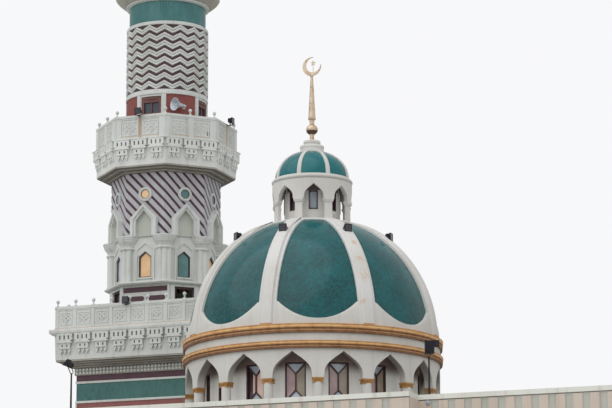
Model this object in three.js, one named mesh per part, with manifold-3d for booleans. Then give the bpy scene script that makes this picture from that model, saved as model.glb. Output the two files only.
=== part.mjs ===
// Mosque building: a domed prayer hall with an arcaded drum, and a minaret behind its left corner.
// Millimetres, +Z up. The origin is on the dome's axis at ground level, and the front faces -Y.
import * as THREE from 'three';
import { mergeVertices } from 'three/addons/utils/BufferGeometryUtils.js';
import Module from 'manifold-3d';

const wasm = await Module();
wasm.setup();

// Hall
const HALL_HALF_WIDTH = 14260;
const HALL_FRONT = -9400;
const HALL_BACK = 9740;
const PORTAL_HALF_WIDTH = 7100;
const PORTAL_FRONT = HALL_FRONT - 1000;
const WALL = 350;
const FLOOR_TOP = 150;
const ROOF_UNDERSIDE = 11000;
const ROOF_TOP = 11400;
const PARAPET_TOP = 12500;
const COPING = { height: 160, overhang: 60 };
const HALL_WINDOW = { width: 1900, sill: 2200, spring: 6800, apex: 8200 };
const DOORWAY = { width: 3400, sill: FLOOR_TOP, spring: 4200, apex: 6400 };
const PORTAL_FRAME = { width: 5600, top: 9000, depth: 90 };
const NICHE_CENTRE = 4950;
const NICHE_DEPTH = 120;
const SHEET = 30;

// Drum under the dome, in sixteen bays
const BAYS = 16;
const ROUND = 32;
const SMALL_ROUND = 16;
const DRUM_INNER = 3680;
const PLINTH = { radius: 4950, top: 12550 };
const DRUM_WALL = 3930;
const DRUM_WINDOW = { width: 780, sill: 13293, top: 14637 };
const ARCADE = { inner: 4350, outer: 4670, spring: 14043, apex: 14997, top: 15073, opening: 1400 };
const COLUMN = { radius: 175, capital: 450, capitalDepth: 380, capitalBottom: 13878 };
const RINGS = { radius: 4800, band: 4690, lowerTop: 15344, bandTop: 15620, upperTop: 15945 };

// The dome's outline is an ellipse: reach across, rise up, from its own centre height
const DOME = { reach: 4590, rise: 4750, centre: 15850 };
const DOME_THICKNESS = 250;
const RIB = { height: 187, core: 0.62, edgeHeight: 90 };
const BAND_HEIGHT = 80;
const RIB_COUNT = 8;
const PANEL = { top: 20260, corner: 16805, bottom: 16140, ribAtTop: 290, ribAtCorner: 325 };
const CROWN = { floor: 20300, top: 20380, radius: 1620 };
const DOME_LIGHT = { radius: 3000, size: 280, lift: 130 };

// Lantern on the crown
const LANTERN = {
  outer: 1486, inner: 1320, spring: 21165, apex: 21707, top: 21907, opening: 720,
  column: 280, capital: 340, capitalBottom: 21026, core: 1040, coreInner: 880,
};
const LANTERN_WINDOW = { width: 300, sill: 20830, top: 21500 };
const SMALL_DOME = { radius: 1387, base: 22100, rise: 1105, top: 23145, thickness: 110, rib: 84, ribHeight: 45 };
const SMALL_PLINTH = { lower: 440, upper: 312, step: 23403, top: 23630 };
const CRESCENT = { centre: 26523, outer: 362, inner: 296, shift: 85, foot: 26140 };

// Minaret: square shaft, octagonal stages, round top
const MINARET_X = -11440;
const MINARET_Y = 12560;
const SHAFT = { half: 2820, inner: 2470, top: 15650 };
const TILE_BAND_TOP = 16570;
const LOWER_BALCONY = { frieze: 17430, slab: 18510, floor: 18720, half: 3727, parapet: 3530, rail: 19720 };
const STAGE = {
  corner: 2330, inner: 2000, front: 2120, diagonal: 2266, top: 20685, doorTop: 20580, door: 900,
};
const WINDOW_STAGE = { bottom: 20685, sill: 21000, spring: 21760, apex: 22141, width: 580, top: 22810 };
const STRIPED = { corner: 2370, top: 25563, gable: 1240, niche: 740 };
const ROUND_WINDOW = { centre: 24625, ring: 310, glass: 200 };
const UPPER_BALCONY = { slab: 26820, floor: 26934, corner: 3260, parapet: 3080, rail: 27980 };
const CALL_STAGE = { radius: 1770, inner: 1500, top: 29165, sill: 27300, openingTop: 28980, opening: 940 };
const CHEVRON_SHAFT = { radius: 1810, top: 32450 };
const COLLAR = { radius: 1706, top: 33430 };
const TOP_BALCONY = { radius: 2310, rim: 33880, floor: 34050 };
const TOP_SCALE = 0.8;

const white = new THREE.MeshStandardMaterial({ color: 0xcfcfc8, roughness: 0.8, flatShading: true });
const beige = new THREE.MeshStandardMaterial({ color: 0xc8b9aa, roughness: 0.85, flatShading: true });
const greenTile = new THREE.MeshStandardMaterial({ color: 0x2f6f68, roughness: 0.35, flatShading: true });
const gold = new THREE.MeshStandardMaterial({ color: 0xc8a05f, roughness: 0.4, metalness: 0.4, flatShading: true });
const brick = new THREE.MeshStandardMaterial({ color: 0x783c3c, roughness: 0.8, flatShading: true });
const striped = new THREE.MeshStandardMaterial({ color: 0x9d949c, roughness: 0.8, flatShading: true });
const glass = new THREE.MeshStandardMaterial({ color: 0x8d9aa5, roughness: 0.1, flatShading: true });
const darkMetal = new THREE.MeshStandardMaterial({ color: 0x1d1a22, roughness: 0.6, metalness: 0.3, flatShading: true });

const mosque = new THREE.Group();
const minaret = new THREE.Group();
minaret.position.set(MINARET_X, MINARET_Y, 0);
mosque.add(minaret);

// A closed solid from any geometry whose faces meet edge to edge.
function solidFrom(geometry) {
  const bare = geometry.index ? geometry.clone() : geometry;
  bare.deleteAttribute('normal');
  bare.deleteAttribute('uv');
  const merged = mergeVertices(bare, 1e-3);
  const corners = merged.index.array;
  const triangles = [];
  for (let i = 0; i < corners.length; i += 3) {
    const [a, b, c] = [corners[i], corners[i + 1], corners[i + 2]];
    if (a !== b && b !== c && c !== a) triangles.push(a, b, c);
  }
  const vertProperties = new Float32Array(merged.attributes.position.array);
  return new wasm.Manifold(new wasm.Mesh({ numProp: 3, vertProperties, triVerts: new Uint32Array(triangles) }));
}

function addPiece(name, solid, material, parent = mosque) {
  const { vertProperties, triVerts } = solid.getMesh();
  const geometry = new THREE.BufferGeometry();
  geometry.setAttribute('position', new THREE.BufferAttribute(vertProperties, 3));
  geometry.setIndex(new THREE.BufferAttribute(triVerts, 1));
  geometry.computeVertexNormals();
  const mesh = new THREE.Mesh(geometry, material);
  mesh.name = name;
  parent.add(mesh);
}

const joined = (solids) => solids.reduce((whole, next) => whole.add(next));
const radians = THREE.MathUtils.degToRad;

// Bearings are in degrees from the front (-Y), turning towards +X.
function facing(bearing) {
  const a = radians(bearing);
  const across = new THREE.Vector3(Math.cos(a), Math.sin(a), 0);
  const outward = new THREE.Vector3(Math.sin(a), -Math.cos(a), 0);
  return new THREE.Matrix4().makeBasis(across, new THREE.Vector3(0, 0, 1), outward);
}

// A flat outline, drawn as seen from outside, pushed out from one distance to another.
function slabFacing(bearing, outline, near, far) {
  const geometry = new THREE.ExtrudeGeometry(outline, { depth: far - near, bevelEnabled: false, curveSegments: 3 });
  geometry.translate(0, 0, near);
  return solidFrom(geometry.applyMatrix4(facing(bearing)));
}

function rectangle(left, right, bottom, top) {
  const outline = new THREE.Shape();
  outline.moveTo(left, bottom);
  outline.lineTo(right, bottom);
  outline.lineTo(right, top);
  outline.lineTo(left, top);
  outline.closePath();
  return outline;
}

// An opening with a four-centred pointed head.
function pointed(centre, { width, sill, spring, apex }) {
  const half = width / 2;
  const rise = apex - spring;
  const outline = new THREE.Shape();
  outline.moveTo(centre - half, sill);
  outline.lineTo(centre + half, sill);
  outline.lineTo(centre + half, spring);
  outline.quadraticCurveTo(centre + half * 0.92, spring + rise * 0.43, centre, apex);
  outline.quadraticCurveTo(centre - half * 0.92, spring + rise * 0.43, centre - half, spring);
  outline.closePath();
  return outline;
}

function block(left, right, front, back, bottom, top) {
  const geometry = new THREE.BoxGeometry(right - left, back - front, top - bottom);
  geometry.translate((left + right) / 2, (front + back) / 2, (bottom + top) / 2);
  return solidFrom(geometry);
}

// A block whose faces turn with its bearing, between two distances from the axis.
const blockFacing = (bearing, width, near, far, bottom, top) =>
  slabFacing(bearing, rectangle(-width / 2, width / 2, bottom, top), near, far);

// A profile of [radius, height] pairs, listed up the outside and down the inside.
function revolved(profile, sides = ROUND, firstBearing = 0) {
  const points = profile.map(([radius, height]) => new THREE.Vector2(radius, height));
  if (profile[0][0] !== 0) points.push(points[0].clone());
  const geometry = new THREE.LatheGeometry(points, sides, radians(firstBearing), 2 * Math.PI);
  return solidFrom(geometry.rotateX(Math.PI / 2));
}

const ring = (inner, outer, bottom, top, sides = ROUND, first = 0) =>
  revolved([[outer, bottom], [outer, top], [inner, top], [inner, bottom]], sides, first);
const octagon = (profile) => revolved(profile, 8, 22.5);
const square = (profile) => revolved(profile.map(([half, height]) => [half * Math.SQRT2, height]), 4, 45);
const bearings = (count, first = 0) => Array.from({ length: count }, (_, i) => first + (360 / count) * i);

// A block with its cells bent onto a surface: place(u, v, w) gives each corner from three shares.
function bent(place, across, along) {
  const geometry = new THREE.BoxGeometry(1, 1, 1, across, along, 1);
  const position = geometry.attributes.position;
  for (let i = 0; i < position.count; i += 1) {
    const corner = place(position.getX(i) * 2, position.getY(i) + 0.5, position.getZ(i) + 0.5);
    position.setXYZ(i, corner.x, corner.y, corner.z);
  }
  return solidFrom(geometry);
}

function polar(radius, bearing, height) {
  const a = radians(bearing);
  return new THREE.Vector3(radius * Math.sin(a), -radius * Math.cos(a), height);
}

// Hall walls, each with a coping that stands out along the top, short of the minaret
function hallWall(name, bearing, face, left, right, windows, copingEnd = right) {
  let wall = slabFacing(bearing, rectangle(left, right, 0, PARAPET_TOP), face - WALL, face);
  windows.forEach((centre) => {
    wall = wall.subtract(slabFacing(bearing, pointed(centre, HALL_WINDOW), face - WALL - 50, face + 50));
  });
  const cap = rectangle(left, copingEnd, PARAPET_TOP - COPING.height, PARAPET_TOP);
  addPiece(name, wall.add(slabFacing(bearing, cap, face - 50, face + COPING.overhang)), beige);
}

function windowSheet(name, bearing, face, left, right) {
  const outline = rectangle(left, right, HALL_WINDOW.sill - 200, HALL_WINDOW.apex + 200);
  addPiece(name, slabFacing(bearing, outline, face - WALL - SHEET, face - WALL), glass);
}

const wingMiddle = (HALL_HALF_WIDTH + PORTAL_HALF_WIDTH) / 2;
const wingWindows = [-1725, 1725];
const sideWindows = [-7000, -3500, 0, 3500, 7000];
const backWindows = [-8400, -4200, 0, 4200, 8400];
const hallMiddle = (HALL_FRONT + HALL_BACK) / 2;
const backMiddle = (MINARET_X + SHAFT.half + HALL_HALF_WIDTH) / 2;

for (const [side, sign] of [['left', -1], ['right', 1]]) {
  const ends = [sign * PORTAL_HALF_WIDTH, sign * HALL_HALF_WIDTH].sort((a, b) => a - b);
  hallWall(`front_wall_${side}`, 0, -HALL_FRONT, ...ends, wingWindows.map((x) => sign * wingMiddle + x));
  windowSheet(`front_glass_${side}`, 0, -HALL_FRONT, sign * wingMiddle - 3000, sign * wingMiddle + 3000);
}

const front = HALL_FRONT + WALL;
const back = HALL_BACK - WALL;
const leftCentres = sideWindows.map((y) => y - hallMiddle);
const rightCentres = sideWindows.map((y) => y + hallMiddle);
hallWall('left_wall', 270, HALL_HALF_WIDTH, -back, -front, leftCentres);
hallWall('right_wall', 90, HALL_HALF_WIDTH, front, back, rightCentres);
const backCentres = backWindows.map((x) => x - backMiddle);
const minaretEdge = -(MINARET_X + SHAFT.half);
hallWall('back_wall', 180, HALL_BACK, -HALL_HALF_WIDTH, HALL_HALF_WIDTH, backCentres, minaretEdge);
windowSheet('left_glass', 270, HALL_HALF_WIDTH, -9100, 8900);
windowSheet('right_glass', 90, HALL_HALF_WIDTH, -8900, 9100);
windowSheet('back_glass', 180, HALL_BACK, -backMiddle - 9800, -backMiddle + 9800);

// Portal block: front wall with the doorway and two blind niches, and its two short sides
function portalBlock() {
  const wallTop = PARAPET_TOP - COPING.height;
  const outline = rectangle(-PORTAL_HALF_WIDTH, PORTAL_HALF_WIDTH, 0, wallTop);
  outline.holes.push(pointed(0, DOORWAY));
  let portal = slabFacing(0, outline, -PORTAL_FRONT - WALL, -PORTAL_FRONT);
  const frame = rectangle(-PORTAL_FRAME.width / 2, PORTAL_FRAME.width / 2, 0, PORTAL_FRAME.top);
  frame.holes.push(pointed(0, { ...DOORWAY, width: DOORWAY.width + 500, apex: DOORWAY.apex + 350 }));
  portal = portal.add(slabFacing(0, frame, -PORTAL_FRONT - 50, -PORTAL_FRONT + PORTAL_FRAME.depth));
  for (const sign of [-1, 1]) {
    const niche = pointed(sign * NICHE_CENTRE, HALL_WINDOW);
    portal = portal.subtract(slabFacing(0, niche, -PORTAL_FRONT - NICHE_DEPTH, -PORTAL_FRONT + 200));
    const sideFace = sign * PORTAL_HALF_WIDTH;
    const sides = [sideFace, sideFace - sign * WALL].sort((a, b) => a - b);
    portal = portal.add(block(...sides, PORTAL_FRONT + WALL, HALL_FRONT + WALL, 0, PARAPET_TOP));
  }
  const copingFront = PORTAL_FRONT - COPING.overhang;
  const cap = block(-PORTAL_HALF_WIDTH, PORTAL_HALF_WIDTH, copingFront, PORTAL_FRONT + WALL, wallTop, PARAPET_TOP);
  return portal.add(cap);
}
addPiece('portal_wall', portalBlock(), beige);

// Floor and roof fill the plan inside the walls; the roof has a round eye under the drum
function planSlab(bottom, top, eye) {
  const inside = HALL_HALF_WIDTH - WALL;
  const portalInside = PORTAL_HALF_WIDTH - WALL;
  const outline = new THREE.Shape();
  const corners = [
    [-inside, front], [-portalInside, front], [-portalInside, PORTAL_FRONT + WALL],
    [portalInside, PORTAL_FRONT + WALL], [portalInside, front], [inside, front], [inside, back], [-inside, back],
  ];
  corners.forEach(([x, y], i) => (i ? outline.lineTo(x, y) : outline.moveTo(x, y)));
  outline.closePath();
  if (eye) {
    const hole = new THREE.Path();
    bearings(ROUND).forEach((b, i) => {
      const { x, y } = polar(eye, b, 0);
      return i ? hole.lineTo(x, y) : hole.moveTo(x, y);
    });
    hole.closePath();
    outline.holes.push(hole);
  }
  const geometry = new THREE.ExtrudeGeometry(outline, { depth: top - bottom, bevelEnabled: false });
  return solidFrom(geometry.translate(0, 0, bottom));
}
addPiece('hall_floor', planSlab(0, FLOOR_TOP, 0), beige);
addPiece('roof_slab', planSlab(ROOF_UNDERSIDE, ROOF_TOP, DRUM_INNER), white);

// Floodlights on poles along the front parapet
function poleLight(x, face) {
  const pole = new THREE.CylinderGeometry(30, 30, 1350, 8).rotateX(Math.PI / 2);
  pole.translate(x, face + 150, PARAPET_TOP + 675);
  const lamp = block(x - 250, x + 250, face + 20, face + 240, PARAPET_TOP + 1330, PARAPET_TOP + 1810);
  return joined([solidFrom(pole), lamp, block(x - 90, x + 90, face + 60, face + 240, PARAPET_TOP, PARAPET_TOP + 30)]);
}
addPiece('floodlight_pole_left', poleLight(-4850, PORTAL_FRONT), darkMetal);
addPiece('floodlight_pole_right', poleLight(7400, HALL_FRONT), darkMetal);

// Drum: plinth, inner wall with windows, arcade of free columns, and the banded rings
addPiece('drum_plinth', ring(DRUM_INNER, PLINTH.radius, ROOF_TOP, PLINTH.top), white);

const bayMiddles = bearings(BAYS, 180 / BAYS);
const halfTurn = (list) => list.slice(0, list.length / 2);

function drumWall() {
  let wall = ring(DRUM_INNER, DRUM_WALL, PLINTH.top, ARCADE.top);
  for (const b of halfTurn(bayMiddles)) {
    wall = wall.subtract(blockFacing(b, DRUM_WINDOW.width, -5000, 5000, DRUM_WINDOW.sill, DRUM_WINDOW.top));
  }
  return wall;
}
addPiece('drum_wall', drumWall(), white);
addPiece('drum_glass', ring(3640, DRUM_INNER - 0.3, DRUM_WINDOW.sill - 140, DRUM_WINDOW.top + 140), glass);

function archCutter(bearing, width, bottom, spring, apex, near, far) {
  return slabFacing(bearing, pointed(0, { width, sill: bottom, spring, apex }), near, far);
}

function drumArcade() {
  let arcade = ring(ARCADE.inner, ARCADE.outer, ARCADE.spring, ARCADE.top);
  for (const b of halfTurn(bayMiddles)) {
    const arch = [ARCADE.opening, ARCADE.spring - 100, ARCADE.spring, ARCADE.apex];
    arcade = arcade.subtract(archCutter(b, ...arch, -5000, 5000));
  }
  const middle = (ARCADE.inner + ARCADE.outer) / 2;
  const near = middle - COLUMN.capitalDepth / 2;
  const far = middle + COLUMN.capitalDepth / 2;
  const columns = bearings(BAYS).map((b) => {
    const place = polar(middle, b, (PLINTH.top + COLUMN.capitalBottom) / 2);
    const shaft = new THREE.CylinderGeometry(COLUMN.radius, COLUMN.radius, COLUMN.capitalBottom - PLINTH.top, 6);
    shaft.rotateX(Math.PI / 2).translate(place.x, place.y, place.z);
    const capital = blockFacing(b, COLUMN.capital, near, far, COLUMN.capitalBottom, ARCADE.spring + 20);
    return joined([solidFrom(shaft), capital]);
  });
  return joined([arcade, ...columns]);
}
addPiece('drum_arcade', drumArcade(), white);

const goldRing = (bottom, top) => {
  const step = bottom + (top - bottom) * 0.45;
  return revolved([
    [RINGS.radius - 45, bottom], [RINGS.radius - 45, step], [RINGS.radius, step + 20], [RINGS.radius, top],
    [DRUM_INNER, top], [DRUM_INNER, bottom],
  ]);
};
addPiece('lower_gold_ring', goldRing(ARCADE.top, RINGS.lowerTop), gold);
addPiece('ring_band', ring(DRUM_INNER, RINGS.band, RINGS.lowerTop, RINGS.bandTop), white);
addPiece('upper_gold_ring', goldRing(RINGS.bandTop, RINGS.upperTop), gold);

// Dome: points on its outline, at a share of the way from the rings to the crown, moved out by an offset
const turnAt = (height) => Math.asin((height - DOME.centre) / DOME.rise);
const DOME_START = turnAt(RINGS.upperTop);
const DOME_END = turnAt(CROWN.floor);

function domeOutline(turn, offset) {
  const [c, s] = [Math.cos(turn), Math.sin(turn)];
  const [across, up] = [c / DOME.reach, s / DOME.rise];
  const length = Math.hypot(across, up);
  return [
    DOME.reach * c + (offset * across) / length,
    DOME.centre + DOME.rise * s + (offset * up) / length,
  ];
}

function domeCurve(offset, steps) {
  const curve = Array.from({ length: steps + 1 }, (_, i) =>
    domeOutline(DOME_START + ((DOME_END - DOME_START) * i) / steps, offset));
  curve[0][1] = RINGS.upperTop;
  return curve;
}

const DOME_STEPS = 6;
const insideCurve = domeCurve(-DOME_THICKNESS, 5).reverse();
addPiece('dome_shell', revolved([
  ...domeCurve(0, DOME_STEPS), [0, CROWN.floor], [0, insideCurve[0][1]], ...insideCurve,
]), greenTile);

// The faces of a many-sided ring lie inside its round outline, least at its corners
function onFaces(radius, fromCorner, sides) {
  const half = Math.PI / sides;
  return (radius * Math.cos(half)) / Math.cos(Math.abs(radians(fromCorner)) - half);
}

// White ribs over a base band whose upper edge dips like a bowl under each panel
function domeRib(bearing, wide, raised) {
  const [start, end] = [turnAt(PANEL.corner), turnAt(PANEL.top)];
  return bent((u, v, w) => {
    const turn = DOME_START + (DOME_END - DOME_START) * v;
    const [radius, height] = domeOutline(turn, w ? raised : 0.3);
    const share = THREE.MathUtils.clamp((turn - start) / (end - start), 0, 1);
    const half = wide * THREE.MathUtils.lerp(PANEL.ribAtCorner, PANEL.ribAtTop, share);
    const side = THREE.MathUtils.radToDeg(Math.asin(half / radius));
    return polar(onFaces(radius, u * side, ROUND), bearing + u * side, v ? height : RINGS.upperTop);
  }, 2, DOME_STEPS);
}

function baseBand() {
  const corners = bearings(ROUND);
  const edge = corners.map((b) => {
    const share = Math.cos(((b % 45) / 45) * 2 * Math.PI) / 2 + 0.5;
    return turnAt(THREE.MathUtils.lerp(PANEL.bottom, PANEL.corner, share ** 1.6));
  });
  const band = new THREE.LatheGeometry([
    new THREE.Vector2(2, 0), new THREE.Vector2(2, 1), new THREE.Vector2(1, 1), new THREE.Vector2(1, 0),
    new THREE.Vector2(2, 0),
  ], ROUND).rotateX(Math.PI / 2);
  const position = band.attributes.position;
  for (let i = 0; i < position.count; i += 1) {
    const [x, y, z] = [position.getX(i), position.getY(i), position.getZ(i)];
    const corner = Math.round((Math.atan2(x, -y) / (2 * Math.PI)) * ROUND + ROUND) % ROUND;
    const offset = Math.hypot(x, y) > 1.5 ? BAND_HEIGHT : 0.3;
    const [radius, height] = domeOutline(z > 0.5 ? edge[corner] : DOME_START, offset);
    const place = polar(radius, corners[corner], z > 0.5 ? height : RINGS.upperTop);
    position.setXYZ(i, place.x, place.y, place.z);
  }
  return solidFrom(band);
}

const domeHeight = (radius) => DOME.centre + DOME.rise * Math.sqrt(1 - (radius / DOME.reach) ** 2);

function domeRibs() {
  const half = DOME_LIGHT.size / 2;
  const { radius } = DOME_LIGHT;
  const foot = domeHeight(radius - 30) + 25;
  const lights = bearings(RIB_COUNT).flatMap((b) => [
    blockFacing(b, 60, radius - 30, radius + 30, foot, foot + DOME_LIGHT.lift + 60),
    blockFacing(b, DOME_LIGHT.size, radius - half, radius + half, foot + DOME_LIGHT.lift, foot + DOME_LIGHT.lift + 280),
  ]);
  const crown = ring(LANTERN.core + 25, CROWN.radius, CROWN.floor, CROWN.top);
  const ribs = bearings(RIB_COUNT).flatMap((b) => [domeRib(b, 1, RIB.edgeHeight), domeRib(b, RIB.core, RIB.height)]);
  return joined([baseBand(), ...ribs, crown, ...lights]);
}
addPiece('dome_ribs', domeRibs(), white);

// A ring of columns carrying pointed arches, with its height counted from its own floor
function columnRing(size, floor, at) {
  const high = (height) => floor + (height - CROWN.top) * size;
  const wide = (length) => length * size;
  let arcade = ring(wide(LANTERN.inner), wide(LANTERN.outer), high(LANTERN.spring), high(LANTERN.top), SMALL_ROUND);
  for (const b of halfTurn(bearings(RIB_COUNT, 180 / RIB_COUNT))) {
    const arch = [wide(LANTERN.opening), high(LANTERN.spring) - 50, high(LANTERN.spring), high(LANTERN.apex)];
    arcade = arcade.subtract(archCutter(b, ...arch, -wide(2000), wide(2000)));
  }
  const [near, far] = [wide(LANTERN.inner), wide(LANTERN.outer)];
  const lip = wide(25);
  const columns = bearings(RIB_COUNT).flatMap((b) => [
    blockFacing(b, wide(LANTERN.column), near, far - lip, at, high(LANTERN.capitalBottom) + 5),
    blockFacing(b, wide(LANTERN.capital), near - lip, far, high(LANTERN.capitalBottom), high(LANTERN.spring) + 10),
  ]);
  return joined([arcade, ...columns]);
}
addPiece('lantern_arcade', columnRing(1, CROWN.top, CROWN.top), white);

function lanternCore() {
  let core = ring(LANTERN.coreInner, LANTERN.core, CROWN.floor, LANTERN.top, SMALL_ROUND);
  for (const b of halfTurn(bearings(RIB_COUNT, 180 / RIB_COUNT))) {
    core = core.subtract(blockFacing(b, LANTERN_WINDOW.width, -2000, 2000, LANTERN_WINDOW.sill, LANTERN_WINDOW.top));
  }
  return core;
}
addPiece('lantern_core', lanternCore(), white);
const paneEdge = 80;
addPiece('lantern_glass', ring(
  LANTERN.coreInner - SHEET, LANTERN.coreInner - 0.3,
  LANTERN_WINDOW.sill - paneEdge, LANTERN_WINDOW.top + paneEdge, SMALL_ROUND,
), glass);

const cornice = (size, bottom, top) => revolved([
  [0, bottom], [1400 * size, bottom], [1512 * size, bottom + (top - bottom) * 0.25],
  [1512 * size, bottom + (top - bottom) * 0.6], [1440 * size, top], [0, top],
], SMALL_ROUND);
addPiece('lantern_cornice', cornice(1, LANTERN.top, SMALL_DOME.base), white);

const SMALL_STEPS = 5;

// A small ribbed dome standing at a height, all its sizes multiplied by one share
function smallDomeCurve(size, floor, offset, steps = SMALL_STEPS) {
  const last = Math.acos(SMALL_PLINTH.lower / SMALL_DOME.radius);
  return Array.from({ length: steps + 1 }, (_, i) => {
    const turn = (last * i) / steps;
    return [
      SMALL_DOME.radius * size * Math.cos(turn) + offset * Math.cos(turn),
      floor + SMALL_DOME.rise * size * Math.sin(turn) + offset * Math.sin(turn),
    ];
  });
}

function smallDome(size, floor) {
  const outside = smallDomeCurve(size, floor, 0);
  const inside = smallDomeCurve(size, floor, -SMALL_DOME.thickness * size, 3).reverse();
  const top = outside.at(-1)[1];
  inside.at(-1)[1] = floor;
  return revolved([...outside, [0, top], [0, inside[0][1]], ...inside], SMALL_ROUND);
}

function smallRibs(size, floor) {
  const high = (height) => floor + (height - SMALL_DOME.base) * size;
  const last = Math.acos(SMALL_PLINTH.lower / SMALL_DOME.radius);
  const ribs = bearings(RIB_COUNT).map((b) => bent((u, v, w) => {
    const turn = last * v;
    const offset = w ? SMALL_DOME.ribHeight * size : 0.3;
    const radius = SMALL_DOME.radius * size * Math.cos(turn) + offset * Math.cos(turn);
    const height = floor + SMALL_DOME.rise * size * Math.sin(turn) + offset * Math.sin(turn);
    const side = THREE.MathUtils.radToDeg(Math.asin((SMALL_DOME.rib * size * (1 - 0.35 * v)) / radius));
    return polar(onFaces(radius, u * side, SMALL_ROUND), b + u * side, height);
  }, 2, SMALL_STEPS));
  const top = floor + SMALL_DOME.rise * size * Math.sin(last);
  const [lower, upper] = [SMALL_PLINTH.lower * size, SMALL_PLINTH.upper * size];
  const plinth = revolved([
    [0, top + 0.3], [lower + 45, top + 0.3], [lower + 45, top + 50], [lower, top + 50],
    [lower, high(SMALL_PLINTH.step)], [upper, high(SMALL_PLINTH.step)],
    [upper, high(SMALL_PLINTH.top)], [0, high(SMALL_PLINTH.top)],
  ], SMALL_ROUND);
  return joined([...ribs, plinth]);
}
addPiece('lantern_dome', smallDome(1, SMALL_DOME.base), greenTile);
addPiece('lantern_dome_ribs', smallRibs(1, SMALL_DOME.base), white);

// Finial: neck, flattened ball, flange and long cone
function finial(size, floor) {
  const outline = [
    [0, 23630], [100, 23630], [80, 23880], [160, 23930], [218, 24030], [222, 24120], [175, 24235], [95, 24330],
    [95, 24440], [145, 24456], [145, 24529], [135, 24529], [48, 26140], [0, 26140],
  ];
  return revolved(outline.map(([radius, height]) => [radius * size, floor + (height - 23630) * size]), 12);
}

// Crescent open towards the upper right, with a five-pointed star on a thin stem
function crescent(size, floor) {
  const high = (height) => floor + (height - 23630) * size;
  const centre = high(CRESCENT.centre);
  const outline = new THREE.Shape();
  const lean = Math.PI / 4;
  const [outer, inner, shift] = [CRESCENT.outer * size, CRESCENT.inner * size, CRESCENT.shift * size];
  const reach = (outer * outer - inner * inner + shift * shift) / (2 * shift);
  const outerAngle = Math.acos(reach / outer);
  const innerAngle = Math.acos((reach - shift) / inner);
  outline.absarc(0, centre, outer, lean + outerAngle, lean - outerAngle + 2 * Math.PI, false);
  const [x, z] = [shift * Math.cos(lean), centre + shift * Math.sin(lean)];
  outline.absarc(x, z, inner, lean - innerAngle + 2 * Math.PI, lean + innerAngle, true);
  const moon = new THREE.ExtrudeGeometry(outline, { depth: 60 * size, bevelEnabled: false, curveSegments: 12 });
  moon.translate(0, 0, -30 * size);
  const star = new THREE.Shape();
  const starCentre = [55 * size, centre + 125 * size];
  for (let i = 0; i < 10; i += 1) {
    const radius = (i % 2 ? 46 : 110) * size;
    const angle = Math.PI / 2 + (i * Math.PI) / 5;
    const corner = [starCentre[0] + radius * Math.cos(angle), starCentre[1] + radius * Math.sin(angle)];
    if (i) star.lineTo(...corner);
    else star.moveTo(...corner);
  }
  star.closePath();
  const starSolid = new THREE.ExtrudeGeometry(star, { depth: 40 * size, bevelEnabled: false });
  starSolid.translate(0, 0, -20 * size);
  const stemBottom = centre - outer + 60 * size;
  const stem = rectangle(starCentre[0] - 12 * size, starCentre[0] + 12 * size, stemBottom, starCentre[1]);
  const upright = [moon, starSolid].map((piece) => solidFrom(piece.applyMatrix4(facing(0))));
  const foot = new THREE.CylinderGeometry(60 * size, 60 * size, 90 * size, 8).rotateX(Math.PI / 2);
  foot.translate(0, 0, high(CRESCENT.foot) + 45 * size);
  return joined([...upright, slabFacing(0, stem, -10 * size, 10 * size), solidFrom(foot)]);
}
addPiece('dome_finial', finial(1, SMALL_PLINTH.top), gold);
addPiece('crescent_and_star', crescent(1, SMALL_PLINTH.top), gold);

// Minaret base: a square brick shaft with a doorway on its left side, and a tile band
function minaretShaft() {
  const tube = square([[SHAFT.half, 0], [SHAFT.half, SHAFT.top], [SHAFT.inner, SHAFT.top], [SHAFT.inner, 0]]);
  return tube.subtract(archCutter(270, 1200, FLOOR_TOP, 2200, 2900, SHAFT.inner - 100, SHAFT.half + 100));
}
addPiece('minaret_shaft', minaretShaft(), brick, minaret);
addPiece('minaret_tile_band', square([
  [SHAFT.half, SHAFT.top], [SHAFT.half, TILE_BAND_TOP], [SHAFT.inner, TILE_BAND_TOP], [SHAFT.inner, SHAFT.top],
]), greenTile, minaret);

// Corbelled balconies: stepped mouldings, a row of hanging units, and the slab
const sideUnit = new THREE.Shape();
[[0, 0], [150, 200], [230, 650], [230, 980], [0, 980]].forEach(([x, z], i) =>
  (i ? sideUnit.lineTo(x, z) : sideUnit.moveTo(x, z)));
sideUnit.closePath();

function hangingUnit(bearing, distance, offset, width, bottom) {
  const geometry = new THREE.ExtrudeGeometry(sideUnit, { depth: width, bevelEnabled: false });
  const a = radians(bearing);
  const outward = new THREE.Vector3(Math.sin(a), -Math.cos(a), 0);
  const across = new THREE.Vector3(-Math.cos(a), -Math.sin(a), 0);
  const place = new THREE.Matrix4().makeBasis(outward, new THREE.Vector3(0, 0, 1), across);
  geometry.translate(0, 0, -width / 2 + offset);
  geometry.applyMatrix4(place);
  geometry.translate(outward.x * distance, outward.y * distance, bottom);
  return solidFrom(geometry);
}

function lowerCorbel() {
  const { frieze, slab, floor, half } = LOWER_BALCONY;
  const body = square([
    [SHAFT.half, TILE_BAND_TOP], [SHAFT.half, 16830], [2880, 16830], [2880, 17140], [3150, 17220], [3300, frieze],
    [3300, slab - 80], [3600, slab - 40], [3600, slab], [half, slab], [half, floor],
    [1500, floor], [1500, slab], [SHAFT.inner, slab], [SHAFT.inner, TILE_BAND_TOP],
  ]);
  const pitch = 845;
  const units = bearings(4).flatMap((b) => [-3.5, -2.5, -1.5, -0.5, 0.5, 1.5, 2.5, 3.5].map((i) =>
    hangingUnit(b, 3290, i * pitch, 560, frieze - 20)));
  return joined([body, ...units]);
}
addPiece('lower_balcony', lowerCorbel(), white, minaret);

const knob = (radius, x, y, z) =>
  solidFrom(new THREE.OctahedronGeometry(radius).rotateX(Math.PI / 2).translate(x, y, z));

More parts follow.
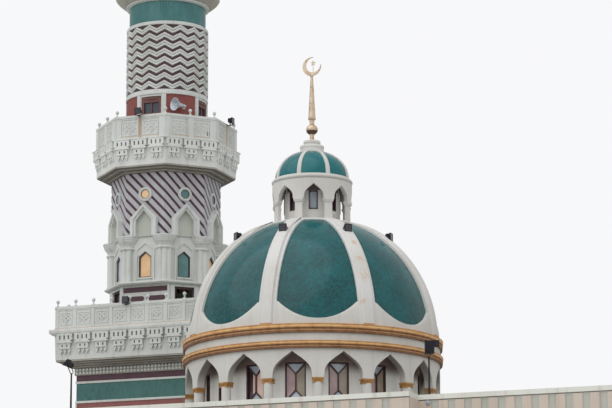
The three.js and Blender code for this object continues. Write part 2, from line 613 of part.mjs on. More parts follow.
function lowerParapet() {
  const { floor, parapet, rail } = LOWER_BALCONY;
  const thickness = 140;
  const wall = square([
    [parapet, floor], [parapet, rail], [parapet - thickness, rail], [parapet - thickness, floor],
  ]);
  const pitch = (2 * parapet - thickness) / 8;
  const posts = bearings(4).flatMap((b) => [-4, -3, -2, -1, 0, 1, 2, 3].flatMap((i) => {
    const middle = parapet - thickness / 2;
    const foot = new THREE.Vector3(i * pitch, 0, middle).applyMatrix4(facing(b));
    return [
      slabFacing(b, rectangle(i * pitch - 70, i * pitch + 70, rail - 20, rail + 100), middle - 70, middle + 70),
      knob(95, foot.x, foot.y, rail + 180),
    ];
  }));
  const light = slabFacing(0, rectangle(-340, -80, rail - 140, rail + 140), parapet - 100, parapet + 280);
  return joined([wall, ...posts, light]);
}
addPiece('lower_parapet', lowerParapet(), white, minaret);

// Gallery stage: its four diagonal sides, with the doorways, are narrower than the other four
function galleryStage() {
  const { inner, front, diagonal, top } = STAGE;
  const { floor } = LOWER_BALCONY;
  const space = octagon([[0, floor - 10], [inner, floor - 10], [inner, top + 10], [0, top + 10]]);
  let stage = blockFacing(0, 2 * front, -front, front, floor, top)
    .intersect(blockFacing(45, 2 * diagonal, -diagonal, diagonal, floor, top))
    .subtract(space);
  for (const b of [45, 135]) {
    stage = stage.subtract(blockFacing(b, STAGE.door, -4000, 4000, floor - 10, STAGE.doorTop));
  }
  return stage;
}
addPiece('gallery_stage', galleryStage(), brick, minaret);

// Octagonal stages; corners stand at 22.5 degrees either side of the front
const octagonMiddles = bearings(8);
const octagonCorners = bearings(8, 22.5);

function windowStage() {
  const { bottom, sill, spring, apex, width, top } = WINDOW_STAGE;
  let stage = octagon([
    [2640, bottom], [2640, bottom + 129], [STAGE.corner, bottom + 129], [STAGE.corner, top],
    [STAGE.inner, top], [STAGE.inner, bottom],
  ]);
  for (const b of halfTurn(octagonMiddles)) {
    stage = stage.subtract(archCutter(b, width, sill, spring, apex, -4000, 4000));
  }
  const pilasters = octagonCorners.flatMap((b) => [
    blockFacing(b, 430, 2150, 2560, bottom + 100, 22240),
    blockFacing(b, 560, 2150, 2680, 22225, 22788),
  ]);
  return joined([stage, ...pilasters]);
}
addPiece('window_stage', windowStage(), white, minaret);
addPiece('minaret_glass', octagon([
  [STAGE.inner - 0.3, 20900], [STAGE.inner - 0.3, 24950], [STAGE.inner - 35, 24950], [STAGE.inner - 35, 20900],
]), glass, minaret);

function stripedShaft() {
  const bottom = WINDOW_STAGE.top;
  const face = STRIPED.corner * Math.cos(Math.PI / 8);
  let shaft = octagon([
    [STRIPED.corner, bottom], [STRIPED.corner, STRIPED.top], [STAGE.inner, STRIPED.top], [STAGE.inner, bottom],
  ]);
  for (const b of octagonMiddles) {
    const half = STRIPED.gable / 2;
    const gable = new THREE.Shape();
    gable.moveTo(-half, bottom);
    gable.lineTo(half, bottom);
    gable.lineTo(half, 23560);
    gable.lineTo(0, 24181);
    gable.lineTo(-half, 23560);
    gable.closePath();
    gable.holes.push(pointed(0, { width: STRIPED.niche, sill: bottom + 60, spring: 23400, apex: 23947 }));
    shaft = shaft.add(slabFacing(b, gable, face - 20, face + 260));
    const surround = new THREE.CylinderGeometry(ROUND_WINDOW.ring, ROUND_WINDOW.ring, 90, 8);
    surround.rotateX(Math.PI / 2).translate(0, ROUND_WINDOW.centre, face + 15);
    shaft = shaft.add(solidFrom(surround.applyMatrix4(facing(b))));
  }
  for (const b of octagonMiddles) {
    const eye = new THREE.CylinderGeometry(ROUND_WINDOW.glass, ROUND_WINDOW.glass, 700, 8).rotateX(Math.PI / 2);
    eye.translate(0, ROUND_WINDOW.centre, face - 100);
    shaft = shaft.subtract(solidFrom(eye.applyMatrix4(facing(b))));
  }
  return shaft;
}
addPiece('striped_shaft', stripedShaft(), striped, minaret);

function upperCorbel() {
  const { slab, floor, corner } = UPPER_BALCONY;
  const body = octagon([
    [STRIPED.corner, STRIPED.top], [2900, 25740], [2940, 25781], [2940, slab - 60], [3180, slab - 30],
    [corner, slab], [corner, floor], [1500, floor], [1500, slab - 100], [STAGE.inner, slab - 100],
    [STAGE.inner, STRIPED.top],
  ]);
  const face = 2940 * Math.cos(Math.PI / 8);
  const units = octagonMiddles.flatMap((b) => [-1, 0, 1].map((i) => hangingUnit(b, face - 10, i * 810, 500, 25800)));
  return joined([body, ...units]);
}
addPiece('upper_balcony', upperCorbel(), white, minaret);

function upperParapet() {
  const { floor, parapet, rail } = UPPER_BALCONY;
  const wall = octagon([[parapet, floor], [parapet, rail], [parapet - 150, rail], [parapet - 150, floor]]);
  const apothem = (parapet - 75) * Math.cos(Math.PI / 8);
  const posts = [
    ...octagonCorners.map((b) => [b, parapet - 85]), ...octagonMiddles.map((b) => [b, apothem]),
  ].flatMap(([b, radius]) => {
    const { x, y } = polar(radius, b, 0);
    return [blockFacing(b, 170, radius - 85, radius + 85, rail - 20, rail + 110), knob(100, x, y, rail + 190)];
  });
  const lights = [0, 90].map((b) => blockFacing(b, 260, apothem + 60, apothem + 530, rail - 160, rail + 120));
  return joined([wall, ...posts, ...lights]);
}
addPiece('upper_parapet', upperParapet(), white, minaret);

// Round call stage with four windows, each between two posts
function callStage() {
  const { radius, inner, top, sill, openingTop, opening } = CALL_STAGE;
  let stage = ring(inner, radius, UPPER_BALCONY.floor, top, 24);
  for (const b of [0, 90]) {
    stage = stage.subtract(blockFacing(b, opening, -3000, 3000, sill, openingTop));
  }
  const posts = bearings(4).flatMap((b) => [b - 19.4, b + 19.4].map((side) =>
    blockFacing(side, 190, inner + 60, radius + 25, UPPER_BALCONY.floor, top)));
  return joined([stage, ...posts]);
}
addPiece('call_stage', callStage(), brick, minaret);
addPiece('call_stage_glass', ring(
  CALL_STAGE.inner - 40, CALL_STAGE.inner - 0.3, CALL_STAGE.sill - 100, CALL_STAGE.openingTop + 100, 24,
), glass, minaret);

// Horn loudspeaker on a short arm, its mouth turned to the left along the wall
const SPEAKER = { height: 28610, aside: -140, turn: -79.5, arm: 130, thick: 80 };

function loudspeaker(bearing) {
  const face = CALL_STAGE.radius * Math.cos(Math.PI / 24);
  const { height, aside, arm, thick } = SPEAKER;
  const outline = [
    [0, 0], [45, 0], [45, 160], [95, 180], [140, 420], [290, 600], [270, 600], [120, 430], [0, 430],
  ];
  const points = outline.map(([radius, height]) => new THREE.Vector2(radius, height));
  const horn = new THREE.LatheGeometry(points, 8);
  horn.rotateX(Math.PI / 2).rotateY(radians(SPEAKER.turn)).translate(aside, height, face + arm);
  const bar = rectangle(aside - thick / 2, aside + thick / 2, height - thick / 2, height + thick / 2);
  return solidFrom(horn.applyMatrix4(facing(bearing))).add(slabFacing(bearing, bar, face + 0.3, face + arm + 40));
}
[52.5, 232.5].forEach((b, i) => addPiece(`loudspeaker_${i + 1}`, loudspeaker(b), darkMetal, minaret));

const shaftRing = (radius, bottom, top) => ring(CALL_STAGE.inner, radius, bottom, top, 24);
addPiece('chevron_shaft', shaftRing(CHEVRON_SHAFT.radius, CALL_STAGE.top, CHEVRON_SHAFT.top), white, minaret);
addPiece('minaret_tile_collar', shaftRing(COLLAR.radius, CHEVRON_SHAFT.top, COLLAR.top), greenTile, minaret);
addPiece('top_balcony', revolved([
  [COLLAR.radius, COLLAR.top], [1830, COLLAR.top + 60], [2100, COLLAR.top + 235], [2250, COLLAR.top + 370],
  [TOP_BALCONY.radius, TOP_BALCONY.rim], [TOP_BALCONY.radius, TOP_BALCONY.floor], [0, TOP_BALCONY.floor],
  [0, TOP_BALCONY.rim], [CALL_STAGE.inner, TOP_BALCONY.rim], [CALL_STAGE.inner, COLLAR.top],
], 24), white, minaret);

// The minaret's own lantern and dome repeat the main ones at a smaller size
const topCornice = TOP_BALCONY.floor + (LANTERN.top - CROWN.top) * TOP_SCALE;
const topDome = topCornice + (SMALL_DOME.base - LANTERN.top) * TOP_SCALE;
const topFinial = topDome + (SMALL_PLINTH.top - SMALL_DOME.base) * TOP_SCALE;
addPiece('top_lantern', joined([
  columnRing(TOP_SCALE, TOP_BALCONY.floor, TOP_BALCONY.floor), cornice(TOP_SCALE, topCornice, topDome),
]), white, minaret);
addPiece('top_dome', smallDome(TOP_SCALE, topDome), greenTile, minaret);
addPiece('top_dome_ribs', smallRibs(TOP_SCALE, topDome), white, minaret);
addPiece('top_finial', finial(TOP_SCALE, topFinial), gold, minaret);
addPiece('top_crescent', crescent(TOP_SCALE, topFinial), gold, minaret);

export default mosque;
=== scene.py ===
# Mosque building dressed for rendering: ribbed dome on an arcaded drum, lantern, striped minaret and hall.
# Metres, +Z up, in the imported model's frame; the front faces -Y.
import math

import bmesh
import bpy
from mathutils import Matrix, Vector
from mathutils.geometry import tessellate_polygon


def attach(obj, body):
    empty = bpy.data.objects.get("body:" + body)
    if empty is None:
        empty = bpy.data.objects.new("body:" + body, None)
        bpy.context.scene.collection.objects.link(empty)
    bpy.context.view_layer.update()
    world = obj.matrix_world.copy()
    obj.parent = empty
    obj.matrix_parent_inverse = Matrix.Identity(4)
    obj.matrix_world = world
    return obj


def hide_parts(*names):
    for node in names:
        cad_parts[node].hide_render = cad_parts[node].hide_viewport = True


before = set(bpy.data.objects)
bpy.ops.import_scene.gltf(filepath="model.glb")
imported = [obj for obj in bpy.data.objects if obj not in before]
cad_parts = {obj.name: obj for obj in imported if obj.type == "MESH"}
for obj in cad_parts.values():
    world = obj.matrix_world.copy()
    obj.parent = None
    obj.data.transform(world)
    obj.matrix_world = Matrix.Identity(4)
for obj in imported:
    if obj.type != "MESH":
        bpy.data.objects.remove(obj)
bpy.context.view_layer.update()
scene = bpy.context.scene

# Hall
HALL_SIDE = 14.26
HALL_FRONT = -9.4
HALL_BACK = 9.74
PORTAL_SIDE = 7.1
PORTAL_FRONT = -10.4
PARAPET_TOP = 12.5
COPING_BOTTOM = 12.34
STRIP_PITCH = 0.56
STRIP_GAP = 0.25
# Width, sill, spring and apex of an opening, and where windows stand along their walls
HALL_WINDOW = (1.9, 2.2, 6.8, 8.2)
DOORWAY = (3.4, 0.15, 4.2, 6.4)
WING_WINDOWS = (-12.405, -8.955, 8.955, 12.405)
SIDE_WINDOWS = (-6.83, -3.33, 0.17, 3.67, 7.17)
BACK_WINDOWS = (-5.58, -1.38, 2.82, 7.02, 11.22)

# Drum, sixteen bays
BAYS = 16
DRUM_INNER = 3.68
DRUM_WALL = 3.93
PLINTH_TOP = 12.55
# Width, sill and head of the window, and the heights where its slanted bars meet
DRUM_WINDOW = (0.75, 13.32, 14.7)
BARS_MEET = (13.71, 14.29)
ARCADE_INNER = 4.35
ARCADE_OUTER = 4.67
ARCADE_OPENING = 1.4
ARCADE_SPRING = 14.043
ARCADE_APEX = 14.997
ARCADE_TOP = 15.073
CAPITAL_BOTTOM = 13.878
RING_RADIUS = 4.8
RING_LOWER_TOP = 15.344
RING_BAND_TOP = 15.62
RING_UPPER_TOP = 15.945

# Dome: an ellipse turned about the axis
REACH = 4.59
RISE = 4.75
DOME_CENTRE = 15.85
RIBS = 8
# Half a rib's width at the panel's corner and at its top, and the height above which it flattens
RIB_HALVES = (0.325, 0.29)
RIB_FADE = 19.75
BAND_HEIGHT = 0.08
PANEL_TOP = 20.26
PANEL_CORNER = 16.805
PANEL_BOTTOM = 16.14
PANEL_HALF_ANGLE = 18.1
CROWN_FLOOR = 20.3
CROWN_TOP = 20.38
CROWN_RADIUS = 1.62
LIGHT_RADIUS = 3.1
LIGHT_FOOT = 19.6

# Lantern, heights above its own floor
LANTERN_FLOOR = 20.38
LANTERN_OUTER = 1.486
LANTERN_INNER = 1.32
LANTERN_OPENING = 0.72
LANTERN_SPRING = 0.785
LANTERN_APEX = 1.327
LANTERN_TOP = 1.527
LANTERN_CAPITAL = 0.646
LANTERN_CORE = 1.04
LANTERN_WINDOW = (0.3, 0.45, 1.12)
SMALL_DOME_BASE = 1.72
SMALL_RADIUS = 1.387
SMALL_RISE = 1.105
FINIAL_FOOT = 3.25

# Minaret
MINARET = (-11.44, 12.56)
MINARET_AXIS = (*MINARET, 0.0)
SHAFT_HALF = 2.82
SHAFT_TOP = 15.65
TILES_BOTTOM = 15.74
TILES_TOP = 16.48
BAND_TOP = 16.57
BALCONY_FLOOR = 18.72
BALCONY_HALF = 3.727
PARAPET_PITCH = 0.835
STAGE_CORNER = 2.33
GALLERY_TOP = 20.685
GALLERY_FRONT = 2.12
GALLERY_HALF = 1.084
BAR_ROUND = 0.107
GALLERY_DIAGONAL = 2.266
GALLERY_DIAGONAL_HALF = 0.7325
STAGE_TOP = 22.81
STRIPED_CORNER = 2.37
STRIPED_TOP = 25.563
STRIPES_ROUND = 35
EYE_HEIGHT = 24.625
UPPER_FLOOR = 26.934
CALL_RADIUS = 1.77
CALL_TOP = 29.165
CHEVRON_TOP = 32.45
COLLAR_RADIUS = 1.706
COLLAR_TOP = 33.43
TOP_RADIUS = 2.31
TOP_RIM = 33.88
TOP_FLOOR = 34.05
TOP_SIZE = 0.8

# Half the angle of an octagon's side, and how far out its face is when its corner is at 1
EIGHTH = math.pi / 8
FACE = math.cos(EIGHTH)

# The camera that matches the photo: focal length in millimetres, place in metres, turns in degrees
CAMERA_LENS = 147.06
CAMERA_PLACE = (31.495, -85.464, 1.6)
CAMERA_TURNS = (102.158, 0.157, 20.409)

# How far a raised piece is let into the wall behind it
BEDDED = 0.02

# Paint shared by the plasters: roughness, scale of the trowelled grain, and the colour of rust
PLASTER_ROUGHNESS = 0.78
GRAIN = 38.0
RUST = (206, 158, 112)

# An arch's outline from its crown to its spring: share of the half width, share of the rise
KEEL_ARCH = (
    (0.0, 1.0), (0.04, 0.97), (0.18, 0.89), (0.41, 0.772), (0.59, 0.668), (0.74, 0.572), (0.86, 0.467),
    (0.945, 0.35), (0.985, 0.23), (0.998, 0.1), (1.0, 0.0),
)


def forward(operation):
    """The operator between a wire and what stands on its right."""
    return lambda wire, other: wire.maths(operation, wire, other)


def reflected(operation):
    """The operator between a wire and what stands on its left."""
    return lambda wire, other: wire.maths(operation, other, wire)


def alone(operation):
    """The operation on a wire by itself."""
    return lambda wire: wire.maths(operation, wire)


class Wire:
    """An output socket; arithmetic on it adds Math nodes to its tree."""

    __add__, __radd__ = forward("ADD"), reflected("ADD")
    __sub__, __rsub__ = forward("SUBTRACT"), reflected("SUBTRACT")
    __mul__ = forward("MULTIPLY")
    __truediv__ = forward("DIVIDE")
    __pow__ = forward("POWER")
    __abs__ = alone("ABSOLUTE")
    sine, cosine = alone("SINE"), alone("COSINE")
    whole, part = alone("FLOOR"), alone("FRACT")

    def __init__(self, nodes, socket):
        self.nodes = nodes
        self.socket = socket

    def maths(self, operation, first, second=0.0):
        return self.nodes.add("ShaderNodeMath", {"operation": operation}, {0: first, 1: second})

    def between(self, low, high):
        """0 below low, 1 above high, and smooth from one to the other."""
        values = {"Value": self, "From Min": low, "From Max": high}
        return self.nodes.add("ShaderNodeMapRange", {"interpolation_type": "SMOOTHSTEP"}, values)


class Nodes:
    """A node tree in which any node is made by one call."""

    def __init__(self, tree):
        self.tree = tree

    def add(self, kind, settings=None, values=None, output=0):
        made = self.tree.nodes.new(kind)
        for name, value in (settings or {}).items():
            setattr(made, name, value)
        for key, value in (values or {}).items():
            if isinstance(value, Wire):
                self.tree.links.new(value.socket, made.inputs[key])
            else:
                made.inputs[key].default_value = value
        return Wire(self, made.outputs[output])

    def parts(self, vector):
        split = self.add("ShaderNodeSeparateXYZ", None, {0: vector})
        return [Wire(self, socket) for socket in split.socket.node.outputs]

    def joined(self, x, y, z):
        return self.add("ShaderNodeCombineXYZ", None, {0: x, 1: y, 2: z})


# Geometry Nodes


class Steps(Nodes):
    """A Geometry Nodes tree with named inputs that ends in realized instances and a material."""

    def __init__(self, name, inputs):
        self.group = bpy.data.node_groups.new(name, "GeometryNodeTree")
        super().__init__(self.group)
        face = self.group.interface
        self.keys = {}
        for label, kind in {"Geometry": "Geometry", **inputs, "Finish": "Material"}.items():
            socket = face.new_socket(name=label, in_out="INPUT", socket_type="NodeSocket" + kind)
            self.keys[label] = socket.identifier
        face.new_socket(name="Geometry", in_out="OUTPUT", socket_type="NodeSocketGeometry")
        self.entry = self.group.nodes.new("NodeGroupInput")

    def given(self, label):
        return Wire(self, self.entry.outputs[label])

    def copies(self, points, unit, rotation=None):
        values = {"Points": points, "Instance": unit}
        if rotation:
            values["Rotation"] = rotation
        placed = self.add("GeometryNodeInstanceOnPoints", None, values)
        return self.add("GeometryNodeRealizeInstances", None, {0: placed})

    def close(self, shape):
        single = self.add("GeometryNodeRealizeInstances", None, {0: shape})
        welded = self.add("GeometryNodeMergeByDistance", None, {"Geometry": single, "Distance": 0.0004})
        values = {"Geometry": welded, "Material": self.given("Finish")}
        painted = self.add("GeometryNodeSetMaterial", None, values)
        leaving = self.group.nodes.new("NodeGroupOutput")
        self.group.links.new(painted.socket, leaving.inputs[0])
        return self


def rows_steps():
    """Copies of a unit in rows, the rows stacked in levels, and the whole turned round an axis."""
    inputs = {"Sides": "Int", "First bearing": "Float", "Across": "Int", "Pitch": "Float", "Levels": "Int",
              "Level pitch": "Float", "Axis": "Vector"}
    steps = Steps("rows_round_an_axis", inputs)
    pitch = steps.given("Pitch")
    start = steps.joined((1.0 - steps.given("Across")) * pitch * 0.5, 0.0, 0.0)
    row = {"Count": steps.given("Across"), "Start Location": start, "Offset": steps.joined(pitch, 0.0, 0.0)}
    across = steps.copies(steps.add("GeometryNodeMeshLine", None, row), steps.given("Geometry"))
    stack = {"Count": steps.given("Levels"), "Offset": steps.joined(0.0, 0.0, steps.given("Level pitch"))}
    levels = steps.copies(steps.add("GeometryNodeMeshLine", None, stack), across)
    sides = steps.given("Sides")
    centre = {"Count": sides, "Start Location": steps.given("Axis"), "Offset": (0.0, 0.0, 0.0)}
    index = steps.add("GeometryNodeInputIndex")
    bearing = steps.given("First bearing") + index * (2 * math.pi) / sides
    spin = steps.add("FunctionNodeAxisAngleToRotation", None, {"Axis": (0.0, 0.0, 1.0), "Angle": bearing})
    return steps.close(steps.copies(steps.add("GeometryNodeMeshLine", None, centre), levels, spin))


def dome_steps():
    """Wraps a flat form on a turned ellipse: its x is the bearing, y the turn and z the height proud."""
    steps = Steps("wrap_on_a_dome", {"Reach": "Float", "Rise": "Float", "Centre height": "Float"})
    bearing, turn, proud = steps.parts(steps.add("GeometryNodeInputPosition"))
    across = turn.cosine() / steps.given("Reach")
    upward = turn.sine() / steps.given("Rise")
    length = (across * across + upward * upward) ** 0.5
    radius = steps.given("Reach") * turn.cosine() + proud * across / length
    height = steps.given("Centre height") + steps.given("Rise") * turn.sine() + proud * upward / length
    place = steps.joined(radius * bearing.sine(), 0.0 - radius * bearing.cosine(), height)
    values = {"Geometry": steps.given("Geometry"), "Position": place}
    return steps.close(steps.add("GeometryNodeSetPosition", None, values))


ROWS = rows_steps()
ON_DOME = dome_steps()
MAIN_DOME = (ON_DOME, {"Reach": REACH, "Rise": RISE, "Centre height": DOME_CENTRE})


def rows(sides=1, first=0.0, across=1, pitch=0.0, levels=1, level_pitch=0.0, axis=(0.0, 0.0, 0.0)):
    """The steps that repeat a form; bearings are in degrees from the front, turning towards +X."""
    return (ROWS, {"Sides": sides, "First bearing": math.radians(first), "Across": across, "Pitch": pitch,
                   "Levels": levels, "Level pitch": level_pitch, "Axis": axis})


def on_minaret(**values):
    return rows(axis=MINARET_AXIS, **values)


# Forms


class Form:
    """Points and faces of a piece. Across is +X, out is -Y and up is +Z, from the axis it stands on."""

    def __init__(self):
        self.points = []
        self.faces = []
        self.marks = []

    def take(self, points, faces):
        start = len(self.points)
        self.points.extend(tuple(point) for point in points)
        self.faces.extend(tuple(start + i for i in face) for face in faces)
        return self

    def join(self, other):
        return self.take(other.points, other.faces)

    def block(self, left, right, near, far, bottom, top):
        """A block from near to far out from the axis."""
        points = [(x, -out, z) for z in (bottom, top) for out in (far, near) for x in (left, right)]
        faces = [(0, 1, 5, 4), (1, 3, 7, 5), (3, 2, 6, 7), (2, 0, 4, 6), (4, 5, 7, 6), (0, 2, 3, 1)]
        return self.take(points, faces)

    def plate(self, outline, near, far, holes=()):
        """An outline of (across, up) points, with holes, pushed out from near to far."""
        loops = [list(outline), *[list(hole) for hole in holes]]
        flat = [[Vector((x, z, 0.0)) for x, z in loop] for loop in loops]
        corners = [(x, z) for loop in loops for x, z in loop]
        count = len(corners)
        faces = [tuple(face) for face in tessellate_polygon(flat)]
        faces += [tuple(count + i for i in reversed(face)) for face in faces]
        start = 0
        for loop in loops:
            for i in range(len(loop)):
                one, two = start + i, start + (i + 1) % len(loop)
                faces.append((one, two, count + two, count + one))
            start += len(loop)
        points = [(x, -out, z) for out in (far, near) for x, z in corners]
        return self.take(points, faces)

    def turned(self, profile, sides=64, first=0.0, across=0.0, out=0.0):
        """A profile of (radius, height) points turned upright; one that starts off the axis makes a ring."""
        points, rings = [], []
        for radius, height in profile:
            if radius == 0:
                rings.append([len(points)] * sides)
                points.append((across, -out, height))
                continue
            rings.append(list(range(len(points), len(points) + sides)))
            for i in range(sides):
                angle = first + 2 * math.pi * i / sides
                points.append((across + radius * math.sin(angle), -out - radius * math.cos(angle), height))
        pairs = list(zip(rings, rings[1:]))
        if profile[0][0]:
            pairs.append((rings[-1], rings[0]))
        faces = []
        for low, high in pairs:
            for i in range(sides):
                k = (i + 1) % sides
                corners = (low[i], low[k], high[k], high[i])
                kept = tuple(dict.fromkeys(corners))
                if len(kept) > 2:
                    faces.append(kept)
        return self.take(points, faces)

    def grid(self, columns, rows_up, place, depth, marks=None):
        """A thick sheet: place(i, k, side) gives the corners of both sides; depth closes its two ends."""
        count = (columns + 1) * (rows_up + 1)
        sheet = [(i, k) for k in range(rows_up + 1) for i in range(columns + 1)]
        points = [place(i / columns, k / rows_up, side) for side in (1, 0) for i, k in sheet]
        faces = []
        step = columns + 1
        for k in range(rows_up):
            for i in range(columns):
                a = k * step + i
                faces.append((a, a + 1, a + step + 1, a + step))
                faces.append((count + a, count + a + step, count + a + step + 1, count + a + 1))
        last = rows_up * step
        for i in range(columns):
            faces.append((i, count + i, count + i + 1, i + 1))
            faces.append((last + i, last + i + 1, count + last + i + 1, count + last + i))
        if depth:
            for k in range(rows_up):
                a, b = k * step, k * step + columns
                faces.append((a, a + step, count + a + step, count + a))
                faces.append((b, count + b, count + b + step, b + step))
        self.take(points, faces)
        if marks:
            self.marks += [marks(i / columns, k / rows_up) for _ in (1, 0) for i, k in sheet]
        return self

    def curved_block(self, left, right, inner, outer, bottom, top, steps=6):
        """A block bent round the axis between two bearings in degrees."""

        def place(i, k, side):
            angle = math.radians(left + (right - left) * i)
            radius = outer if side else inner
            return (radius * math.sin(angle), -radius * math.cos(angle), top if k else bottom)

        return self.grid(steps, 1, place, True)

    def ball(self, radius, across, out, up, sides=12):
        angles = [math.pi * k / 8 for k in range(1, 8)]
        middle = [(radius * math.sin(a), up - radius * math.cos(a)) for a in angles]
        return self.turned([(0, up - radius), *middle, (0, up + radius)], sides, across=across, out=out)

    def rod(self, path, radius, sides=8):
        """A round bar along points in space, with closed ends."""
        spots = [Vector(point) for point in path]
        points, faces = [], []
        for i, spot in enumerate(spots):
            way = (spots[min(i + 1, len(spots) - 1)] - spots[max(i - 1, 0)]).normalized()
            side = way.cross(Vector((0.31, 0.27, 0.91))).normalized()
            other = way.cross(side)
            for k in range(sides):
                angle = 2 * math.pi * k / sides
                points.append(spot + radius * (math.cos(angle) * side + math.sin(angle) * other))
        for i in range(len(spots) - 1):
            for k in range(sides):
                a, b = i * sides + k, i * sides + (k + 1) % sides
                faces.append((a, b, b + sides, a + sides))
        faces.append(tuple(range(sides)))
        faces.append(tuple(reversed(range(len(points) - sides, len(points)))))
        return self.take(points, faces)

    def profile(self, outline, left, right):
        """An outline of (out, up) points drawn across from left to right."""
        side = Form().plate([(-out, up) for out, up in outline], left, right).moved(bearing=90)
        return self.join(side)

    def strip(self, start, end, width, near, far):
        """A straight flat bar between two (across, up) points."""
        (x1, z1), (x2, z2) = start, end
        length = math.hypot(x2 - x1, z2 - z1)
        nx, nz = -(z2 - z1) / length * width / 2, (x2 - x1) / length * width / 2
        corners = [(x1 - nx, z1 - nz), (x2 - nx, z2 - nz), (x2 + nx, z2 + nz), (x1 + nx, z1 + nz)]
        return self.plate(corners, near, far)

    def moved(self, across=0.0, out=0.0, up=0.0, bearing=0.0, size=1.0):
        """The same form at another size, turned to a bearing in degrees, then moved."""
        angle = math.radians(bearing)
        self.points = [
            (size * (x * math.cos(angle) - y * math.sin(angle)) + across,
             size * (x * math.sin(angle) + y * math.cos(angle)) - out, size * z + up)
            for x, y, z in self.points
        ]
        return self


def pointed(width, sill, spring, apex, inset=0.0):
    """The outline of an opening with a four-centred head, anticlockwise from its lower left corner."""
    half = width / 2 - inset
    rise = apex - inset * 1.3 - spring
    right = []
    for i in range(9):
        t = i / 8
        x = (1 - t) ** 2 * half + 2 * t * (1 - t) * half * 0.92
        right.append((x, spring + 2 * t * (1 - t) * rise * 0.43 + t * t * rise))
    left = [(-x, z) for x, z in reversed(right[:-1])]
    return [(-half, sill + inset), (half, sill + inset), *right, *left]


def box_outline(left, right, bottom, top):
    return [(left, bottom), (right, bottom), (right, top), (left, top)]


def raised(profile, level):
    """A profile whose heights are given above a level."""
    return [(reach, level + height) for reach, height in profile]


def arc(wide, high, centre, angles):
    """Points of an ellipse about a height on the axis."""
    return [(wide * math.cos(a), centre + high * math.sin(a)) for a in angles]


def circle(radius, height, count=32):
    return arc(radius, radius, height, [2 * math.pi * i / count for i in range(count)])


def at_bearings(make, bearings):
    """The form that make() gives, once at each bearing."""
    whole = Form()
    for bearing in bearings:
        whole.join(make().moved(bearing=bearing))
    return whole


def windowed_bay(half_bay, jamb, inner, outer, levels, steps):
    """One bay of a round wall; its levels are its bottom, its window's sill and head, and its top."""
    bottom, sill, head, top = levels
    wall = Form()
    for low, high in ((bottom, sill), (head, top)):
        wall.curved_block(-half_bay, half_bay, inner, outer, low, high, steps)
    for left, right in ((-half_bay, -jamb), (jamb, half_bay)):
        wall.curved_block(left, right, inner, outer, sill, head, 3)
    return wall


def arch_height(across, half, spring, apex):
    """How high a keel arch stands at a distance from its middle."""
    share = min(abs(across) / half, 1.0)
    for (near, high), (far, low) in zip(KEEL_ARCH, KEEL_ARCH[1:]):
        if share <= far:
            return spring + (apex - spring) * (high + (low - high) * (share - near) / (far - near))
    return spring


def arched_bay(half_bay, inner, outer, opening, spring, apex, top):
    """One bay of a round arcade, its underside following a keel arch between its two haunches."""
    form = Form()
    half = opening / 2
    shares = [-rise for rise, _ in reversed(KEEL_ARCH)] + [rise for rise, _ in KEEL_ARCH[1:]]
    stops = [(-2, 0.0), (-2, 0.5), *[(0, share) for share in shares], (2, 0.5), (2, 0.0)]

    def across(stop, radius):
        kind, share = stop
        if kind == 0:
            return half * share
        edge = radius * math.sin(math.radians(half_bay))
        return math.copysign(edge + (half - edge) * share, kind)

    def place(i, k, side):
        stop = stops[round(i * (len(stops) - 1))]
        radius = outer if side else inner
        x = across(stop, radius)
        height = top if k else (arch_height(stop[1] * half, half, spring, apex) if stop[0] == 0 else spring)
        return (x, -math.sqrt(radius * radius - x * x), height)

    return form.grid(len(stops) - 1, 1, place, False)


# Finishes


def tint(red, green, blue):
    """A colour given as on a screen, from 0 to 255, in the linear values that shaders use."""
    return (*[((v / 255 + 0.055) / 1.055) ** 2.4 if v > 10 else v / 3294 for v in (red, green, blue)], 1.0)


class Finish(Nodes):
    """A surface material and its slot. Patterns read the object's own coordinates, in metres."""

    def __init__(self, name, slot, roughness=0.7, metallic=0.0, coat=0.0):
        self.slot = slot
        self.material = bpy.data.materials.new(name)
        self.material.use_nodes = True
        super().__init__(self.material.node_tree)
        self.shader = self.tree.nodes["Principled BSDF"]
        self.set("Roughness", roughness)
        self.set("Metallic", metallic)
        self.set("Coat Weight", coat)
        self.place = self.add("ShaderNodeTexCoord", output="Object")

    def set(self, socket, value):
        self.shader.inputs[socket].default_value = value

    def lead(self, wire, socket):
        self.tree.links.new(wire.socket, self.shader.inputs[socket])

    def noise(self, scale, detail=2.0, stretch=(1.0, 1.0, 1.0)):
        settings = {"operation": "MULTIPLY"}
        vector = self.add("ShaderNodeVectorMath", settings, {0: self.place, 1: stretch})
        return self.add("ShaderNodeTexNoise", None, {"Vector": vector, "Scale": scale, "Detail": detail})

    def streaks(self):
        """Thin upright runs, as rain draws grime down a wall."""
        return self.noise(1.0, 4.0, (5.5, 5.5, 0.3)).between(0.5, 0.78)

    def tiled(self, across, up, inner, outer):
        """Tiles one unit wide and high: a random tone for each, and the joints between them."""
        cell = self.joined(across.whole(), up.whole(), 0.0)
        tone = self.add("ShaderNodeTexWhiteNoise", {"noise_dimensions": "3D"}, {"Vector": cell})
        edge = abs(across.part() - 0.5)
        return tone, edge.maths("MAXIMUM", edge, abs(up.part() - 0.5)).between(inner, outer)

    def mixed(self, share, first, second):
        """Two colours mixed; each is a wire, or red, green and blue from 0 to 255."""
        one, two = (tint(*colour) if isinstance(colour, tuple) else colour for colour in (first, second))
        return self.add("ShaderNodeMix", {"data_type": "RGBA"}, {0: share, 6: one, 7: two}, output=2)

    def coated(self, colour, height, distance, strength):
        """The finish with its colour, and with its relief pressed in."""
        self.lead(colour, "Base Color")
        values = {"Height": height, "Distance": distance, "Strength": strength}
        self.lead(self.add("ShaderNodeBump", None, values), "Normal")
        return self


